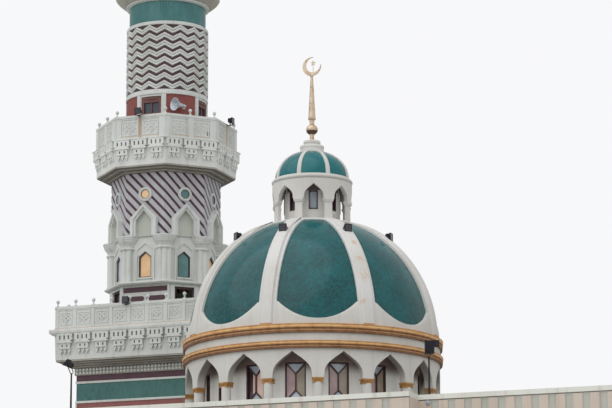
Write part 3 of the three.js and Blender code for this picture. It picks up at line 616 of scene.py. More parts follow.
def plaster(name, clean, worn, stained, grime=0.5, rust=0.0, stains=(), slot="white_plaster"):
    """Painted plaster: cloudy paint, grime in thin runs, rust spots, rust stains and a trowelled grain."""
    finish = Finish(name, slot, PLASTER_ROUGHNESS)
    patches = finish.noise(2.3, 4.0, (1.0, 1.0, 0.6)).between(0.55, 0.8)
    colour = finish.mixed(finish.noise(0.55, 3.0).between(0.3, 0.75), clean, worn)
    colour = finish.mixed((finish.streaks() * 0.6 + patches * 0.4) * grime, colour, stained)
    if rust:
        spots = finish.noise(2.1, 3.0, (1.0, 1.0, 0.7)).between(0.64, 0.73)
        colour = finish.mixed(spots * rust, colour, RUST)
    x, y, z = finish.parts(finish.place)
    for middle, height, reach in stains:
        aside = (x - middle) ** 2.0 + (y + middle) ** 2.0
        distance = (aside + (z - height) ** 2.0 * 0.4) ** 0.5
        share = (1.0 - distance.between(reach * 0.2, reach)) * finish.noise(7.0, 3.0).between(0.34, 0.56)
        colour = finish.mixed(share * 0.8, colour, RUST)
    return finish.coated(colour, finish.noise(GRAIN) + patches * 0.4, 0.006, 0.6)


def two_coats(name, below, above, worn, height, blend=0.003):
    """Wall paint of one colour up to a height and another above it, clouded and streaked alike."""
    finish = Finish(name, "white_plaster", PLASTER_ROUGHNESS)
    level = finish.parts(finish.place)[2]
    colour = finish.mixed(level.between(height - blend, height + blend), below, above)
    runs = finish.streaks()
    cloud = finish.noise(0.55, 3.0).between(0.35, 0.75)
    colour = finish.mixed((runs * 0.5 + cloud * 0.3) * 0.6, colour, worn)
    return finish.coated(colour, finish.noise(GRAIN) + runs * 0.3, 0.006, 0.6)


def arcade_plaster_painted_shade():
    """The drum arcade's paint, dark brown on the undersides of its arches: painted shade."""
    finish = Finish("arcade_plaster_painted_shade", "white_plaster", PLASTER_ROUGHNESS)
    x, y, z = finish.parts(finish.place)
    inside = 1.0 - ((x * x + y * y) ** 0.5).between(ARCADE_OUTER - 0.07, ARCADE_OUTER - 0.005)
    colour = finish.mixed(finish.noise(0.55, 3.0).between(0.3, 0.75), (218, 217, 213), (204, 202, 196))
    colour = finish.mixed(finish.streaks() * 0.25, colour, (174, 166, 154))
    # Dark brown inside the arcade's outer face, rising into the arch heads: painted shade.
    colour = finish.mixed(inside * z.between(14.0, 14.75) * 0.75, colour, (96, 86, 82))
    return finish.coated(colour, finish.noise(GRAIN), 0.006, 0.6)


def paint(name, colour, worn, roughness=0.6, grime=0.6, scale=3.0, slot="brick_red_plaster"):
    """A plain coat of paint, duller in patches and along faint vertical runs."""
    finish = Finish(name, slot, roughness)
    patches = finish.noise(scale, 4.0, (1.0, 1.0, 0.5)).between(0.4, 0.75)
    return finish.coated(finish.mixed(patches * grime, colour, worn), finish.noise(30.0), 0.004, 0.5)


def metal(name, colour, worn, roughness, metallic, slot="gold_paint"):
    """Metal or metallic paint with dull cloudy wear."""
    finish = Finish(name, slot, roughness, metallic)
    wear = finish.noise(5.0, 5.0).between(0.42, 0.72)
    finish.lead(wear * 0.2 + roughness, "Roughness")
    return finish.coated(finish.mixed(wear, colour, worn), finish.noise(22.0, 3.0), 0.003, 0.5)


def mosaic(name, deep, light, joint, size=0.05):
    """Small glazed tiles laid in rows over a curved panel, by the piece's own tile map."""
    finish = Finish(name, "green_tile", coat=0.45)
    finish.set("Specular IOR Level", 0.2)
    finish.set("Coat Roughness", 0.12)
    across, up, _ = finish.parts(finish.add("ShaderNodeUVMap", {"uv_map": "tiles"}))
    tone, gap = finish.tiled(across / size, up / size, 0.44, 0.49)
    cloud = finish.noise(1.1, 5.0).between(0.38, 0.68)
    fleck = finish.noise(8.0, 5.0).between(0.36, 0.66)
    level = finish.parts(finish.place)[2]
    # Paler towards the top and on the small domes: painted light.
    painted_top_light = level.between(16.4, 20.8) * 0.2 + level.between(21.2, 22.0) * 0.4
    colour = finish.mixed(tone * 0.3 + cloud * 0.26 + fleck * 0.26 + painted_top_light, deep, light)
    finish.lead(0.3 + tone * 0.16 + gap * 0.3, "Roughness")
    return finish.coated(finish.mixed(gap * 0.55, colour, joint), (1.0 - gap) + tone * 0.35, 0.006, 0.7)


def wall_tiles(name, deep, light, joint, wide, high):
    """Glazed wall tiles on upright faces that look along X or along Y."""
    finish = Finish(name, "green_tile")
    x, y, z = finish.parts(finish.place)
    tone, gap = finish.tiled((x + y) / wide, z / high, 0.45, 0.49)
    cloud = finish.noise(1.1, 4.0).between(0.35, 0.7)
    colour = finish.mixed(tone * 0.5 + cloud * 0.4, deep, light)
    finish.lead(0.28 + tone * 0.16 + gap * 0.3, "Roughness")
    return finish.coated(finish.mixed(gap * 0.6, colour, joint), (1.0 - gap) + tone * 0.3, 0.006, 0.7)


def glass(name, colour, cloudy, roughness=0.08, slot="window_glass"):
    """Window glass that shows no room behind it, with a faint unevenness."""
    finish = Finish(name, slot, roughness, coat=0.6)
    colour = finish.mixed(finish.noise(1.6).between(0.35, 0.7), colour, cloudy)
    return finish.coated(colour, finish.noise(2.2, 1.0), 0.01, 0.35)


def stone(name, light, dark, joint, wide, high):
    """Dressed stone slabs with thin joints, for upright faces."""
    finish = Finish(name, "floor_stone", 0.6)
    x, y, z = finish.parts(finish.place)
    row = z / high
    tone, gap = finish.tiled((x + y) / wide + row.whole() * 0.5, row, 0.48, 0.494)
    vein = finish.noise(2.5, 6.0).between(0.4, 0.7)
    colour = finish.mixed(tone * 0.4 + vein * 0.5, light, dark)
    return finish.coated(finish.mixed(gap, colour, joint), (1.0 - gap) + vein * 0.1, 0.008, 0.7)


def paving(name, light, dark, joint, size):
    """Polished square floor slabs."""
    finish = Finish(name, "floor_stone", 0.3)
    x, y, _ = finish.parts(finish.place)
    tone, gap = finish.tiled(x / size, y / size, 0.485, 0.495)
    vein = finish.noise(1.8, 6.0).between(0.4, 0.7)
    colour = finish.mixed(tone * 0.35 + vein * 0.5, light, dark)
    return finish.coated(finish.mixed(gap, colour, joint), 1.0 - gap, 0.003, 0.5)


DOME_PLASTER = plaster("dome_plaster", (218, 217, 213), (204, 202, 196), (174, 166, 154), 0.35)
RIB_PLASTER = plaster("rib_plaster", (219, 219, 217), (208, 206, 200), (196, 168, 140), 0.4,
                      rust=0.35, stains=((2.8, 18.34, 0.24), (3.02, 17.66, 0.3), (2.5, 19.0, 0.2)))
# Dark plaster laid in the coping groove, behind the frieze slots and in the lantern's arch heads: painted
# shade.
PAINTED_SHADE_PLASTER = plaster("painted_shade_plaster", (112, 105, 99), (92, 86, 81), (128, 120, 110), 0.6)
# Dark plaster under the edges of the balconies' stepped soffits: painted shade.
SOFFIT_SHADE = plaster("soffit_painted_shade", (122, 116, 107), (104, 98, 90), (84, 78, 72), 0.6)
RUSTED_PLASTER = plaster("rusted_plaster", (200, 184, 164), (182, 156, 130), (136, 100, 72), 0.9)
# Paler than the shaft's plaster, to brighten the frieze in the slab's shade: painted light.
FRIEZE_PLASTER_PAINTED_LIGHT = plaster("frieze_plaster_painted_light", (228, 230, 227), (214, 216, 212), (156, 152, 144), 0.4)
# The drum's inner wall, paler than the other plasters below the window heads (painted light) and dark brown
# above them (painted shade).
DRUM_PAINTED_LIGHT_AND_SHADE = two_coats("drum_inner_painted_light_and_shade", (246, 246, 242), (142, 124, 119), (176, 168, 160), 14.46, 0.2)
ARCADE_PLASTER = arcade_plaster_painted_shade()
WALL_PAINT = two_coats("wall_paint", (208, 195, 181), (226, 227, 218), (160, 150, 138), COPING_BOTTOM)
MINARET_PLASTER = plaster("minaret_plaster", (217, 219, 216), (202, 205, 200), (144, 142, 134), 0.5)
# Plaster darker than the walls for the balconies' stepped undersides and the head's flare: painted shade.
SHADED_SOFFIT_PLASTER = plaster("soffit_plaster_painted_shade", (176, 174, 164), (158, 155, 144), (110, 104, 92), 0.6)
NICHE_PLASTER = plaster("niche_plaster", (196, 199, 190), (182, 186, 175), (140, 142, 128), 0.5)
BEIGE_PLASTER = plaster("beige_plaster", (208, 195, 181), (198, 184, 170), (160, 146, 132), 0.45,
                        slot="beige_plaster")
GREY_PLASTER = plaster("grey_plaster", (190, 190, 181), (178, 178, 168), (140, 138, 128), 0.5)
COPING_PAINT = plaster("coping_paint", (214, 215, 206), (202, 203, 192), (158, 155, 140), 0.5)
STRIPE_PLASTER = plaster("stripe_plaster", (194, 194, 198), (180, 178, 184), (140, 134, 142), 0.45,
                         slot="striped_plaster")
ROOF_SCREED = plaster("roof_screed", (168, 166, 158), (148, 146, 138), (104, 100, 92), 0.8)
BRICK_PAINT = paint("brick_red_paint", (140, 74, 68), (112, 60, 60), 0.7)
BAND_PAINT = paint("brick_band_paint", (146, 92, 88), (122, 76, 76), 0.7)
LINTEL_PAINT = paint("lintel_paint", (116, 78, 74), (96, 64, 62), 0.7)
MAROON_PAINT = paint("maroon_paint", (86, 58, 68), (72, 48, 58), 0.6)
FRAME_PAINT = paint("frame_paint", (74, 48, 54), (56, 38, 44), 0.5)
# Gold paint in three tones: the light one is a painted highlight, the middle one the base tone, the dark one
# painted shade.
GOLD_PAINTED_HIGHLIGHT = metal("gold_paint_painted_highlight", (234, 190, 130), (220, 166, 108), 0.5, 0.1)
GOLD_MIDDLE = metal("gold_paint_middle", (198, 150, 100), (174, 124, 80), 0.55, 0.1)
GOLD_PAINTED_SHADE = metal("gold_paint_painted_shade", (134, 98, 70), (112, 78, 54), 0.6, 0.1)
GOLD_CAPITAL = metal("gold_capital_paint", (182, 136, 78), (152, 110, 62), 0.55, 0.15)
GILDED = metal("gilded_metal", (216, 196, 172), (186, 160, 130), 0.36, 0.55)
# Dark bronze for the lower half of the finial's ball: painted shade.
PAINTED_SHADE_BRONZE = metal("dark_bronze_painted_shade", (88, 68, 56), (62, 50, 44), 0.4, 0.25)
BLACK_METAL = metal("black_metal", (34, 30, 40), (24, 22, 28), 0.5, 0.3, "dark_metal")
GREY_METAL = metal("grey_metal", (204, 212, 218), (170, 180, 188), 0.36, 0.35, "grey_metal")
LAMP_GLASS = glass("lamp_glass", (46, 44, 58), (32, 30, 42), slot="dark_metal")
DOME_TILES = mosaic("dome_tiles", (0, 52, 53), (0, 112, 117), (8, 100, 104))
BAND_TILES = wall_tiles("band_tiles", (46, 98, 94), (72, 122, 116), (90, 118, 112), 0.1, 0.185)
COLLAR_TILES = paint("collar_glaze", (58, 114, 114), (80, 138, 136), 0.2, 0.8, 2.0, "green_tile")
SPANDREL_TILES = wall_tiles("spandrel_tiles", (36, 90, 84), (58, 116, 110), (170, 176, 168), 0.15, 0.15)
BLUE_GLASS = glass("blue_grey_glass", (150, 162, 174), (128, 140, 152))
PALE_GLASS = glass("pale_blue_glass", (214, 228, 240), (184, 198, 212))
MAUVE_GLASS = glass("mauve_glass", (206, 176, 178), (184, 152, 154))
TAUPE_GLASS = glass("taupe_glass", (176, 162, 142), (154, 140, 122))
# Bright rose glass for one drum pane: painted light.
LIT_ROSE_GLASS = glass("rose_glass_painted_light", (255, 222, 208), (240, 200, 184), 0.2)
PEACH_GLASS = glass("peach_glass", (248, 208, 158), (236, 192, 142), 0.2)
GREEN_GLASS = glass("green_glass", (80, 132, 128), (62, 112, 110), 0.2)
DARK_GLASS = glass("dark_glass", (56, 68, 80), (42, 52, 62))
MAROON_GLASS = glass("maroon_glass", (72, 50, 58), (50, 36, 44))
BASE_STONE = stone("base_stone", (150, 142, 132), (126, 118, 110), (92, 88, 82), 1.2, 0.45)
FLOOR_STONE = paving("floor_stone", (206, 200, 190), (184, 176, 164), (140, 134, 126), 0.6)


# Pieces


def smooth(mesh, sharp):
    shell = bmesh.new()
    shell.from_mesh(mesh)
    bmesh.ops.recalc_face_normals(shell, faces=shell.faces)
    shell.to_mesh(mesh)
    shell.free()
    mesh.polygons.foreach_set("use_smooth", [True] * len(mesh.polygons))
    mesh.set_sharp_from_angle(angle=math.radians(sharp))


def piece(name, form, finish, steps=(), stands_for=(), sharp=32.0, slot=None):
    """A finished piece: the form after its steps, as a plain mesh that rides on the building."""
    slot = slot or finish.slot
    mesh = bpy.data.meshes.new(name)
    mesh.from_pydata(form.points, [], form.faces)
    mesh.materials.append(finish.material)
    if form.marks:
        laid = mesh.uv_layers.new(name="tiles")
        for loop in mesh.loops:
            laid.data[loop.index].uv = form.marks[loop.vertex_index]
    shown = bpy.data.objects.new(name, mesh)
    scene.collection.objects.link(shown)
    for tree, values in steps:
        modifier = shown.modifiers.new(tree.group.name, "NODES")
        modifier.node_group = tree.group
        for label, value in {**values, "Finish": finish.material}.items():
            modifier[tree.keys[label]] = value
    if steps:
        graph = bpy.context.evaluated_depsgraph_get()
        shaped = bpy.data.meshes.new_from_object(shown.evaluated_get(graph))
        shown.modifiers.clear()
        shown.data = shaped
    smooth(shown.data, sharp)
    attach(shown, "root")
    if stands_for:
        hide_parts(*stands_for)
    return shown


def minaret_piece(name, form, finish=MINARET_PLASTER, stands_for=(), slot=None, **turns):
    """A piece that stands on the minaret's axis, repeated round it as the turns say."""
    return piece(name, form, finish, [on_minaret(**turns)], stands_for, slot=slot)


def painted(finish, *names):
    """Gives CAD nodes that are kept their material."""
    for name in names:
        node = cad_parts[name]
        for place in node.material_slots:
            place.material = finish.material
        if not node.material_slots:
            node.data.materials.append(finish.material)


# Hall


def wall_runs():
    """Each straight run of the hall's outer face: bearing, distance out, and its two ends across."""
    half = HALL_SIDE
    return [
        (0, -PORTAL_FRONT, -PORTAL_SIDE, PORTAL_SIDE),
        (0, -HALL_FRONT, -half, -PORTAL_SIDE),
        (0, -HALL_FRONT, PORTAL_SIDE, half),
        (90, half, HALL_FRONT, HALL_BACK),
        (180, HALL_BACK, -half, -MINARET[0] - SHAFT_HALF),
        (270, half, -HALL_BACK, -HALL_FRONT),
    ]


def along_walls(make):
    """One form from make(form, out, left, right), called for every run and turned to face its way."""
    whole = Form()
    for bearing, out, left, right in wall_runs():
        run = Form()
        make(run, out, left, right)
        whole.join(run.moved(bearing=bearing))
    return whole


def strip_run(form, out, left, right):
    """Upright strips between a broader pier at each end."""
    pier = 0.66 if out == -PORTAL_FRONT else 0.42
    length = right - left - 2 * pier - STRIP_GAP
    count = round(length / STRIP_PITCH)
    pitch = length / count
    spans = [(left, left + pier), (right - pier, right)]
    for i in range(count):
        start = left + pier + STRIP_GAP + pitch * i
        spans.append((start, start + pitch - STRIP_GAP))
    for start, end in spans:
        form.plate(box_outline(start, end, 11.32, 12.3), out - BEDDED, out + 0.042)


def wall_bands(name, finish, *bands):
    """Level bands along every wall, each given by how far it stands proud, its bottom and its top."""

    def make(form, out, left, right):
        for proud, bottom, top in bands:
            form.block(left, right, out - BEDDED, out + proud, bottom, top)

    piece(name, along_walls(make), finish)


def base_run(form, out, left, right):
    spans = [(left, -DOORWAY[0] / 2), (DOORWAY[0] / 2, right)] if out == -PORTAL_FRONT else [(left, right)]
    for start, end in spans:
        form.block(start, end, out - BEDDED, out + 0.05, 0.0, 0.9)
        form.block(start, end, out - BEDDED, out + 0.03, 0.9, 0.98)


def hall_trim():
    piece("parapet_strips", along_walls(strip_run), BEIGE_PLASTER)
    wall_bands("parapet_recess", GREY_PLASTER, (0.006, 11.3, COPING_BOTTOM + 0.02))
    # A thin dark band under the coping: a painted shadow line.
    wall_bands("coping_painted_shadow", PAINTED_SHADE_PLASTER, (0.009, COPING_BOTTOM - 0.016, COPING_BOTTOM + 0.004))
    wall_bands("string_courses", COPING_PAINT, (0.055, 11.12, 11.24), (0.035, 11.0, 11.13), (0.05, 9.2, 9.34))
    piece("base_course", along_walls(base_run), BASE_STONE)


def window_surround():
    width, sill, spring, apex = HALL_WINDOW
    form = Form().plate(pointed(width + 0.44, sill - 0.12, spring, apex + 0.3), -0.02, 0.05,
                        [pointed(width, sill, spring, apex)])
    return form.block(-width / 2 - 0.34, width / 2 + 0.34, -0.02, 0.055, sill - 0.26, sill - 0.1)


def window_bars():
    """A maroon frame, two uprights, five cross bars and a pointed tracery inside a hall window."""
    width, sill, spring, apex = HALL_WINDOW
    form = Form().plate(pointed(width, sill, spring, apex), -0.3, -0.2,
                        [pointed(width, sill, spring, apex, inset=0.07)])
    for x in (-0.32, 0.32):
        form.block(x - 0.025, x + 0.025, -0.29, -0.22, sill + 0.05, spring + 0.72)
    for k in range(6):
        height = sill + (spring - sill) * k / 5 + (0.04 if k == 0 else 0.0)
        form.block(-width / 2 + 0.06, width / 2 - 0.06, -0.285, -0.225, height - 0.025, height + 0.025)
    form.strip((-width / 2 + 0.1, spring + 0.05), (0, spring + 0.95), 0.045, -0.28, -0.23)
    form.strip((width / 2 - 0.1, spring + 0.05), (0, spring + 0.95), 0.045, -0.28, -0.23)
    return form


def hall_windows():
    spots = [(0, -HALL_FRONT, x) for x in WING_WINDOWS]
    spots += [(90, HALL_SIDE, y) for y in SIDE_WINDOWS] + [(270, HALL_SIDE, -y) for y in SIDE_WINDOWS]
    spots += [(180, HALL_BACK, -x) for x in BACK_WINDOWS]
    surrounds, bars = Form(), Form()
    for bearing, out, across in spots:
        surrounds.join(window_surround().moved(across, out).moved(bearing=bearing))
        bars.join(window_bars().moved(across, out).moved(bearing=bearing))
    piece("hall_window_surrounds", surrounds, COPING_PAINT)
    piece("hall_window_bars", bars, FRAME_PAINT)


def portal():
    """The mouldings round the doorway's arch and the tiles behind them, on the portal's raised panel."""
    out = -PORTAL_FRONT + 0.09
    width, sill, spring, apex = DOORWAY
    arch = Form().plate(pointed(width + 0.5, sill, spring, apex + 0.35), out - 0.14, out + 0.03,
                        [pointed(width, sill, spring, apex)])
    for inset, proud in ((0.0, 0.055), (0.3, 0.0)):
        outline = pointed(width + 0.7 - inset, sill, spring, apex + 0.5 - inset)
        inner = pointed(width + 0.56 - inset, sill, spring, apex + 0.4 - inset)
        arch.plate(outline, out - BEDDED, out + proud + 0.02, [inner])
    piece("portal_arch_moulding", arch, DOME_PLASTER)
    tiles = Form().plate(box_outline(-2.62, 2.62, 4.5, 8.8), out - BEDDED, out + 0.012,
                         [[(x, max(z, 4.52)) for x, z in pointed(width + 0.72, 4.52, 4.54, apex + 0.5)]])
    piece("portal_spandrel_tiles", tiles, SPANDREL_TILES)


def deep_lamp():
    """An upright housing with fins, a raised rim on its left and a box at its upper right."""
    form = Form().block(-0.13, 0.15, -0.1, 0.1, -0.22, 0.2)
    form.block(-0.16, -0.12, -0.12, 0.12, -0.24, 0.22)
    for k in range(5):
        form.block(-0.1 + 0.05 * k, -0.08 + 0.05 * k, -0.125, 0.125, -0.19, 0.18)
    form.block(0.14, 0.3, -0.08, 0.08, 0.0, 0.21)
    return form.block(0.29, 0.31, -0.09, 0.09, -0.01, 0.22).moved(bearing=20)


def tilted_head():
    """The square lamp, longer than the others, tipped up by 45 degrees and turned to the left."""
    turn = math.radians(45)
    form = floodlight_head()
    form.points = [(x, 1.25 * y * math.cos(turn) + (z - 0.14) * math.sin(turn),
                    (z - 0.14) * math.cos(turn) - 1.25 * y * math.sin(turn)) for x, y, z in form.points]
    return form.moved(bearing=270)


def pole_lights():
    """A lamp in a bent yoke on each pole, and a globe on the wall below the right one."""
    for name, lamp, x, out, centre, height, size in (
        ("left", tilted_head(), -4.85, -0.15 - PORTAL_FRONT, -4.95, 14.03, 0.94),
        ("right", deep_lamp(), 7.4, -0.15 - HALL_FRONT, 7.43, 14.07, 1.0),
    ):
        base, top = PARAPET_TOP, height - 0.31
        lamp.moved(centre, out, height, size=size)
        pole = [(0, base), (0.09, base), (0.09, base + 0.02), (0.034, base + 0.05), (0.026, top), (0, top)]
        lamp.turned(pole, 12, across=x, out=out)
        side = 0.15 * size
        lamp.rod([(centre, -out - side, height), (x, -out - side, top + 0.06), (x, -out - 0.07, top),
                  (x, -out + 0.07, top), (x, -out + side, top + 0.06), (centre, -out + side, height)], 0.016)
        piece(f"floodlight_on_pole_{name}", lamp, BLACK_METAL, stands_for=(f"floodlight_pole_{name}",))
    x, wall = 7.42, -HALL_FRONT
    globe = Form().ball(0.08, x, wall + 0.06, 12.22)
    globe.turned([(0, 12.28), (0.05, 12.28), (0.05, 12.31), (0, 12.31)], 16, across=x, out=wall + 0.06)
    globe.block(7.4, 7.44, wall - BEDDED, wall + 0.08, 12.3, 12.33)
    piece("wall_globe", globe, BLUE_GLASS)


def hall():
    painted(WALL_PAINT, "front_wall_left", "front_wall_right", "portal_wall", "left_wall", "right_wall",
            "back_wall")
    painted(FLOOR_STONE, "hall_floor")
    painted(ROOF_SCREED, "roof_slab")
    painted(BLUE_GLASS, "front_glass_left", "front_glass_right", "left_glass", "right_glass", "back_glass")
    hall_trim()
    hall_windows()
    portal()
    pole_lights()


# Drum


HALF_BAY = 180 / BAYS
EVERY_BAY = [rows(BAYS, HALF_BAY)]


def drum_window_frame():
    """A maroon frame with a V of bars at its head, an upright, and an inverted V at its foot."""
    width, sill, top = DRUM_WINDOW
    half, out, bar = width / 2, DRUM_WALL - 0.1, 0.05
    lower, upper = BARS_MEET
    form = Form().plate(box_outline(-half, half, sill, top), out - 0.05, out + 0.07,
                        [box_outline(-half + bar, half - bar, sill + bar, top - bar)])
    side, head, foot = half - 0.03, (0, upper), (0, lower)
    for start, end in (((-side, top - 0.03), head), ((side, top - 0.03), head), (head, foot),
                       ((-side, sill + 0.03), foot), ((side, sill + 0.03), foot)):
        form.strip(start, end, 0.042, out - 0.03, out + 0.045)
    return form


def drum_arcade():
    middle, every_column = (ARCADE_INNER + ARCADE_OUTER) / 2, [rows(BAYS)]
    bay = arched_bay(HALF_BAY, ARCADE_INNER, ARCADE_OUTER, ARCADE_OPENING, ARCADE_SPRING, ARCADE_APEX,
                     ARCADE_TOP)
    piece("drum_arches", bay, ARCADE_PLASTER, EVERY_BAY, ("drum_arcade",))
    base = raised([(0, 0.0), (0.215, 0.0), (0.215, 0.09), (0.185, 0.13), (0.175, 0.18)], PLINTH_TOP)
    top = CAPITAL_BOTTOM + 0.01
    shaft = Form().turned([*base, (0.17, top), (0, top)], 24, out=middle)
    piece("drum_columns", shaft, DOME_PLASTER, every_column)
    capital = Form()
    for half, low, high in ((0.19, CAPITAL_BOTTOM, 13.925), (0.175, 13.92, 13.995), (0.205, 13.99, 14.05)):
        capital.block(-half, half, middle - half * 0.83, middle + half * 0.83, low, high)
    for i in range(5):
        x = -0.15 + 0.075 * i
        capital.block(x - 0.022, x + 0.022, middle - 0.165, middle + 0.165, 13.93, 13.985)
    piece("drum_capitals", capital, GOLD_CAPITAL, every_column)


def drum_wall():
    width, sill, top = DRUM_WINDOW
    jamb = math.degrees(math.asin(width / 2 / DRUM_WALL))
    wall = windowed_bay(HALF_BAY, jamb, DRUM_INNER, DRUM_WALL, (PLINTH_TOP, sill, top, ARCADE_TOP), 6)
    # Painted light low on the inner wall and painted shade above the window heads.
    piece("drum_inner_wall", wall, DRUM_PAINTED_LIGHT_AND_SHADE, EVERY_BAY, ("drum_wall",))
    piece("drum_window_frames", drum_window_frame(), FRAME_PAINT, EVERY_BAY)
    painted(DOME_PLASTER, "drum_plinth")


def drum_panes():
    """Two end panes and two side panes in each window; in the one left of the front a rose pane and strip are
    painted light and a maroon pane is painted shade.
    """
    width, sill, top = DRUM_WINDOW
    lower, upper = BARS_MEET
    half, out = width / 2 - 0.03, DRUM_WALL - 0.12
    foot, head = sill + 0.03, top - 0.03

    def pane(*outlines, proud=0.0):
        form = Form()
        for outline in outlines:
            form.plate(outline, out - BEDDED, out + proud)
        return form

    ends = pane([(half, head), (0, upper), (-half, head)], [(-half, foot), (half, foot), (0, lower)])
    left = [(-half, foot), (0, lower), (0, upper), (-half, head)]
    right = [(-x, z) for x, z in left][::-1]
    piece("drum_panes_end", ends, PALE_GLASS, EVERY_BAY, ("drum_glass",))
    piece("drum_panes_left", pane(left), MAUVE_GLASS, EVERY_BAY)
    piece("drum_panes_right", pane(right), TAUPE_GLASS, EVERY_BAY)
    # In the bay left of the front: a bright rose pane and strip painted light, and a maroon pane painted
    # shade.
    strip = [(-0.14, sill + 0.25), (0, lower), (0, upper), (-0.14, top - 0.2)]
    one_bay = [rows(1, -HALF_BAY)]
    piece("drum_panes_painted_light", pane(right, strip, proud=0.004), LIT_ROSE_GLASS, one_bay)
    piece("drum_pane_shaded", pane(left, proud=0.002), MAROON_GLASS, one_bay)


def ring_profile(radius, bottom, top, rounding=0.008):
    return [(DRUM_INNER, bottom), (radius - rounding, bottom), (radius, bottom + rounding),
            (radius, top - rounding), (radius - rounding, top), (DRUM_INNER, top)]


# The rings' mouldings from below: name, paint, bottom and top, and how far back from the lip. The pale face
# is a painted highlight; the dark groove and foot are painted shade.
RING_MOULDING = (
    ("foot", GOLD_PAINTED_SHADE, 0.0, 0.085, 0.03), ("bead", GOLD_MIDDLE, 0.08, 0.115, 0.018),
    ("groove", GOLD_PAINTED_SHADE, 0.11, 0.18, 0.05), ("under", GOLD_MIDDLE, 0.175, 0.215, 0.016),
    ("face", GOLD_PAINTED_HIGHLIGHT, 0.21, 0.285, 0.008), ("lip", GOLD_MIDDLE, 0.28, 0.325, 0.0),
)


def gold_rings():
    """Two moulded rings, with a plain white band between them and the ribs' feet on the upper one."""
    whole = RING_MOULDING[-1][3]
    for name, bottom, top in (("lower", ARCADE_TOP, RING_LOWER_TOP),
                              ("upper", RING_BAND_TOP, RING_UPPER_TOP)):
        high = (top - bottom) / whole
        for part, finish, low, rise, back in RING_MOULDING:
            outline = ring_profile(RING_RADIUS - back, bottom + low * high, bottom + rise * high)
            replaced = (f"{name}_gold_ring",) if part == "face" else ()
            piece(f"gold_ring_{name}_{part}", Form().turned(outline, 128), finish, stands_for=replaced)
    band = box_outline(DRUM_INNER, 4.69, RING_LOWER_TOP, RING_BAND_TOP)
    piece("drum_white_band", Form().turned(band, 128), DOME_PLASTER, stands_for=("ring_band",))
    foot = Form().block(-0.21, 0.21, 4.45, RING_RADIUS - 0.01, RING_UPPER_TOP - 0.03, RING_UPPER_TOP + 0.05)
    piece("rib_feet", foot, GOLD_MIDDLE, [rows(RIBS)])


# Dome


def dome_turn(height):
    return math.asin((height - DOME_CENTRE) / RISE)


def dome_radius(turn):
    return REACH * math.cos(turn)


def dome_height(radius):
    return DOME_CENTRE + RISE * math.sqrt(1 - (radius / REACH) ** 2)


def arc_turns(start, end, steps, samples=400):
    """Turns at even distances along the dome's outline, with the distance of each."""
    fine = [start + (end - start) * i / samples for i in range(samples + 1)]
    spots = [(dome_radius(t), DOME_CENTRE + RISE * math.sin(t)) for t in fine]
    runs = [0.0]
    for one, two in zip(spots, spots[1:]):
        runs.append(runs[-1] + math.dist(one, two))
    turns, k = [], 0
    for i in range(steps + 1):
        wanted = runs[-1] * i / steps
        while k < samples - 1 and runs[k + 1] < wanted:
            k += 1
        share = (wanted - runs[k]) / max(runs[k + 1] - runs[k], 1e-9)
        turns.append((fine[k] + (fine[k + 1] - fine[k]) * share, wanted))
    return turns


DOME_START = dome_turn(RING_UPPER_TOP - 0.01)
DOME_END = dome_turn(CROWN_FLOOR + 0.02)


def dome_shell():
    steps = 44
    turns = arc_turns(DOME_START, DOME_END, steps)

    def place(i, k, side):
        return (math.pi * (2 * i - 1), turns[round(k * steps)][0], 0.0 if side else -0.25)

    def tile(i, k):
        turn, run = turns[round(k * steps)]
        return (math.pi * (2 * i - 1) * dome_radius(turn), run)

    form = Form().grid(128, steps, place, False, tile)
    piece("dome_panels", form, DOME_TILES, [MAIN_DOME], ("dome_shell",))


RIB_PROFILE = (
    (-1.0, 0.0), (-0.985, 0.078), (-0.95, 0.089), (-0.7, 0.094), (-0.64, 0.15), (-0.56, 0.18), (0.0, 0.187),
    (0.56, 0.18), (0.64, 0.15), (0.7, 0.094), (0.95, 0.089), (0.985, 0.078), (1.0, 0.0),
)


def dome_rib():
    """A rib drawn flat: broad side bands with a raised core, narrowing and fading towards the crown."""
    steps, count = 40, len(RIB_PROFILE) - 1
    turns = arc_turns(DOME_START, DOME_END, steps)
    first, last, fade = dome_turn(PANEL_CORNER), dome_turn(PANEL_TOP), dome_turn(RIB_FADE)
    foot, head = RIB_HALVES

    def place(i, k, side):
        turn = turns[round(k * steps)][0]
        half = foot + (head - foot) * min(max((turn - first) / (last - first), 0.0), 1.0)
        across, proud = RIB_PROFILE[round(i * count)]
        proud *= 1.0 - 0.62 * min(max((turn - fade) / (DOME_END - fade), 0.0), 1.0) ** 1.5
        return (math.asin(half * across / dome_radius(turn)), turn, proud if side else -0.02)

    return Form().grid(count, steps, place, True)


def bowl_height(bearing):
    """The lower edge of a green panel, in metres, at a bearing from the panel's middle."""
    share = min(abs(bearing), PANEL_HALF_ANGLE) / PANEL_HALF_ANGLE
    return PANEL_BOTTOM + (PANEL_CORNER - PANEL_BOTTOM) * share ** 2.13


def dome_base_band():
    steps = 36

    def place(i, k, side):
        bearing = -22.5 + 45 * i
        edge = dome_turn(bowl_height(bearing))
        rise = (0.0, 0.25, 0.5, 0.75, 0.94, 1.0)[round(k * 5)]
        proud = BAND_HEIGHT - (0.012 if k == 1 else 0.0)
        return (math.radians(bearing), DOME_START + (edge - DOME_START) * rise, proud if side else -0.02)

    return Form().grid(steps, 5, place, False)


